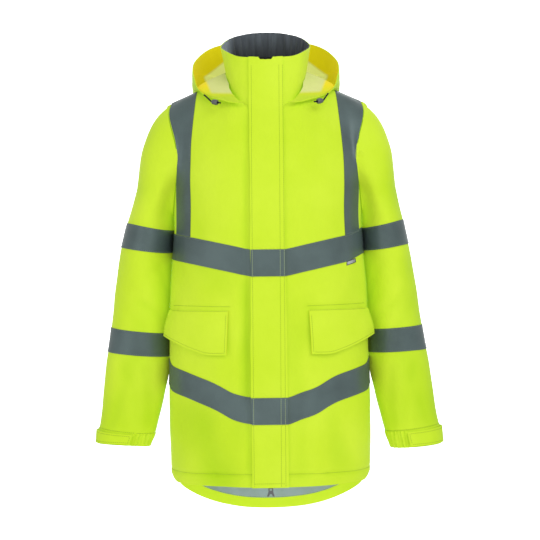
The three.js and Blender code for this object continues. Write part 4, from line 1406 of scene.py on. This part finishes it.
class JACKET_OT_label(bpy.types.Operator):
    """Makes the plain tab under the chest tape"""

    bl_idname = "jacket.label"
    bl_label = "Side label"

    def execute(self, context):
        bm = merged_copy("label")
        face = min(bm.faces, key=lambda f: f.normal.y * f.calc_area())
        bmesh.ops.inset_individual(bm, faces=[face], thickness=0.0026, depth=0.0002)
        bm.faces.index_update()
        front = face.index
        piece = object_from(bm, "side_label")
        points = read_points(piece.data)
        middle, top = points[:, 0].mean(), points[:, 2].max()
        points[:, 0] = middle + 1.25 * (points[:, 0] - middle)
        points[:, 2] = top + 0.8 * (points[:, 2] - top)
        write_points(piece.data, sway_chest(points))
        dress(piece, material_named("label"), "label_grey", "label")
        piece.data.materials.append(material_named("label face"))
        piece.data.polygons[front].material_index = 1
        return {"FINISHED"}


class JACKET_OT_stitching(bpy.types.Operator):
    """Sews the rows of stitches along the storm flap, pocket flaps, tapes, cuffs and hems"""

    bl_idname = "jacket.stitching"
    bl_label = "Stitching"

    def execute(self, context):
        cloth_rows, tape_rows, pale_rows = Threads(), Threads(), Threads()
        front = [piece_named(f"front_{side}_panel") for side in ("left", "right")]
        flap = [piece_named("storm_flap")]
        skin = outer_skin(flap, torso_way)
        for top, bottom in FLAP_ROWS:
            cloth_rows.front_row(((top, FLAP_ROW_TOP), (bottom, FLAP_ROW_FOOT)), skin, 200)
        cloth_rows.front_row(((FLAP_ROWS[0][1], FLAP_FOOT_ROW), (FLAP_ROWS[-1][1], FLAP_FOOT_ROW)), skin)
        for level in ("chest", "hip"):
            tape = [piece_named(f"reflective_placket_{level}")]
            skin = outer_skin(tape, torso_way)
            heights = read_points(tape[0].data)[:, 2] / MM
            for row in FLAP_ROWS:
                pale_rows.front_row([
                    (float(np.interp(z, (FLAP_ROW_FOOT, FLAP_ROW_TOP), row[::-1])), z)
                    for z in (heights.max(), heights.min())
                ], skin)
        for side, sign in SIDES.items():
            pocket = [piece_named(f"pocket_flap_{side}")]
            cloth_rows.rim(pocket, torso_way, 0.004, lambda p: p.z < POCKET_FLAP_RIM)
            cloth_rows.front_row(
                ((78 * sign, POCKET_FLAP_ROW), (189 * sign, POCKET_FLAP_ROW)), outer_skin(pocket, torso_way))
            cloth_rows.rim([piece_named(f"cuff_{side}_tab")], sleeve_way(sign), 0.0035, least=0.4)
            cloth_rows.rim(
                [piece_named(f"sleeve_{side}_panel")], sleeve_way(sign), 0.0012, lambda p: p.z < SLEEVE_RIM)
        skin = outer_skin(front, torso_way)
        for x0, z0, x1, z1, _, _ in FRONT_SEAMS:
            cloth_rows.front_row(((x0, z0 + 2), (x1, z1 + 2)), skin)
        for node in ("chest", "hip", "shoulder_left", "shoulder_right"):
            tape_rows.rim([piece_named(f"reflective_{node}")], torso_way, 0.0022, least=0.1)
        for side, sign in SIDES.items():
            for level in ("upper", "lower"):
                tape = [piece_named(f"reflective_sleeve_{level}_{side}")]
                tape_rows.rim(tape, sleeve_way(sign), 0.0022, least=0.4)
        cloth_rows.rim(
            [piece_named("back_lining_panel")], lambda p: -torso_way(p), 0.0008, lambda p: p.z < TAIL_RIM)
        cloth_rows.piece("cloth_stitching", material_named("cloth thread"), "shell")
        tape_rows.piece("tape_stitching", material_named("tape thread"), "reflective_tape")
        pale_rows.piece("flap_tape_stitching", material_named("pale thread"), "shell")
        return {"FINISHED"}


STEPS = (
    JACKET_OT_stage, JACKET_OT_cords, JACKET_OT_body, JACKET_OT_sleeves, JACKET_OT_cuffs,
    JACKET_OT_collar, JACKET_OT_hood, JACKET_OT_back_lining, JACKET_OT_closure, JACKET_OT_flaps,
    JACKET_OT_tapes, JACKET_OT_label, JACKET_OT_stitching,
)


class JACKET_PT_panel(bpy.types.Panel):
    bl_label = "Work jacket"
    bl_idname = "JACKET_PT_panel"
    bl_space_type = "VIEW_3D"
    bl_region_type = "UI"
    bl_category = "Jacket"

    def draw(self, context):
        for group in ("cloth", "lining", "tape", "trim", "stitch", "stage"):
            box = self.layout.box()
            box.label(text=group.capitalize())
            values = getattr(context.scene.jacket, group)
            for name in values.__annotations__:
                box.prop(values, name)
        for step in STEPS:
            self.layout.operator(step.bl_idname)


CLASSES = (
    ClothSettings, LiningSettings, TapeSettings, TrimSettings, StitchSettings, StageSettings, JacketSettings,
    *STEPS, JACKET_PT_panel,
)


def register():
    for cls in CLASSES:
        bpy.utils.register_class(cls)
    bpy.types.Scene.jacket = PointerProperty(type=JacketSettings)


def unregister():
    del bpy.types.Scene.jacket
    for cls in reversed(CLASSES):
        bpy.utils.unregister_class(cls)


def main():
    register()
    for step in STEPS:
        group, name = step.bl_idname.split(".")
        getattr(getattr(bpy.ops, group), name)()


if __name__ == "__main__":
    main()
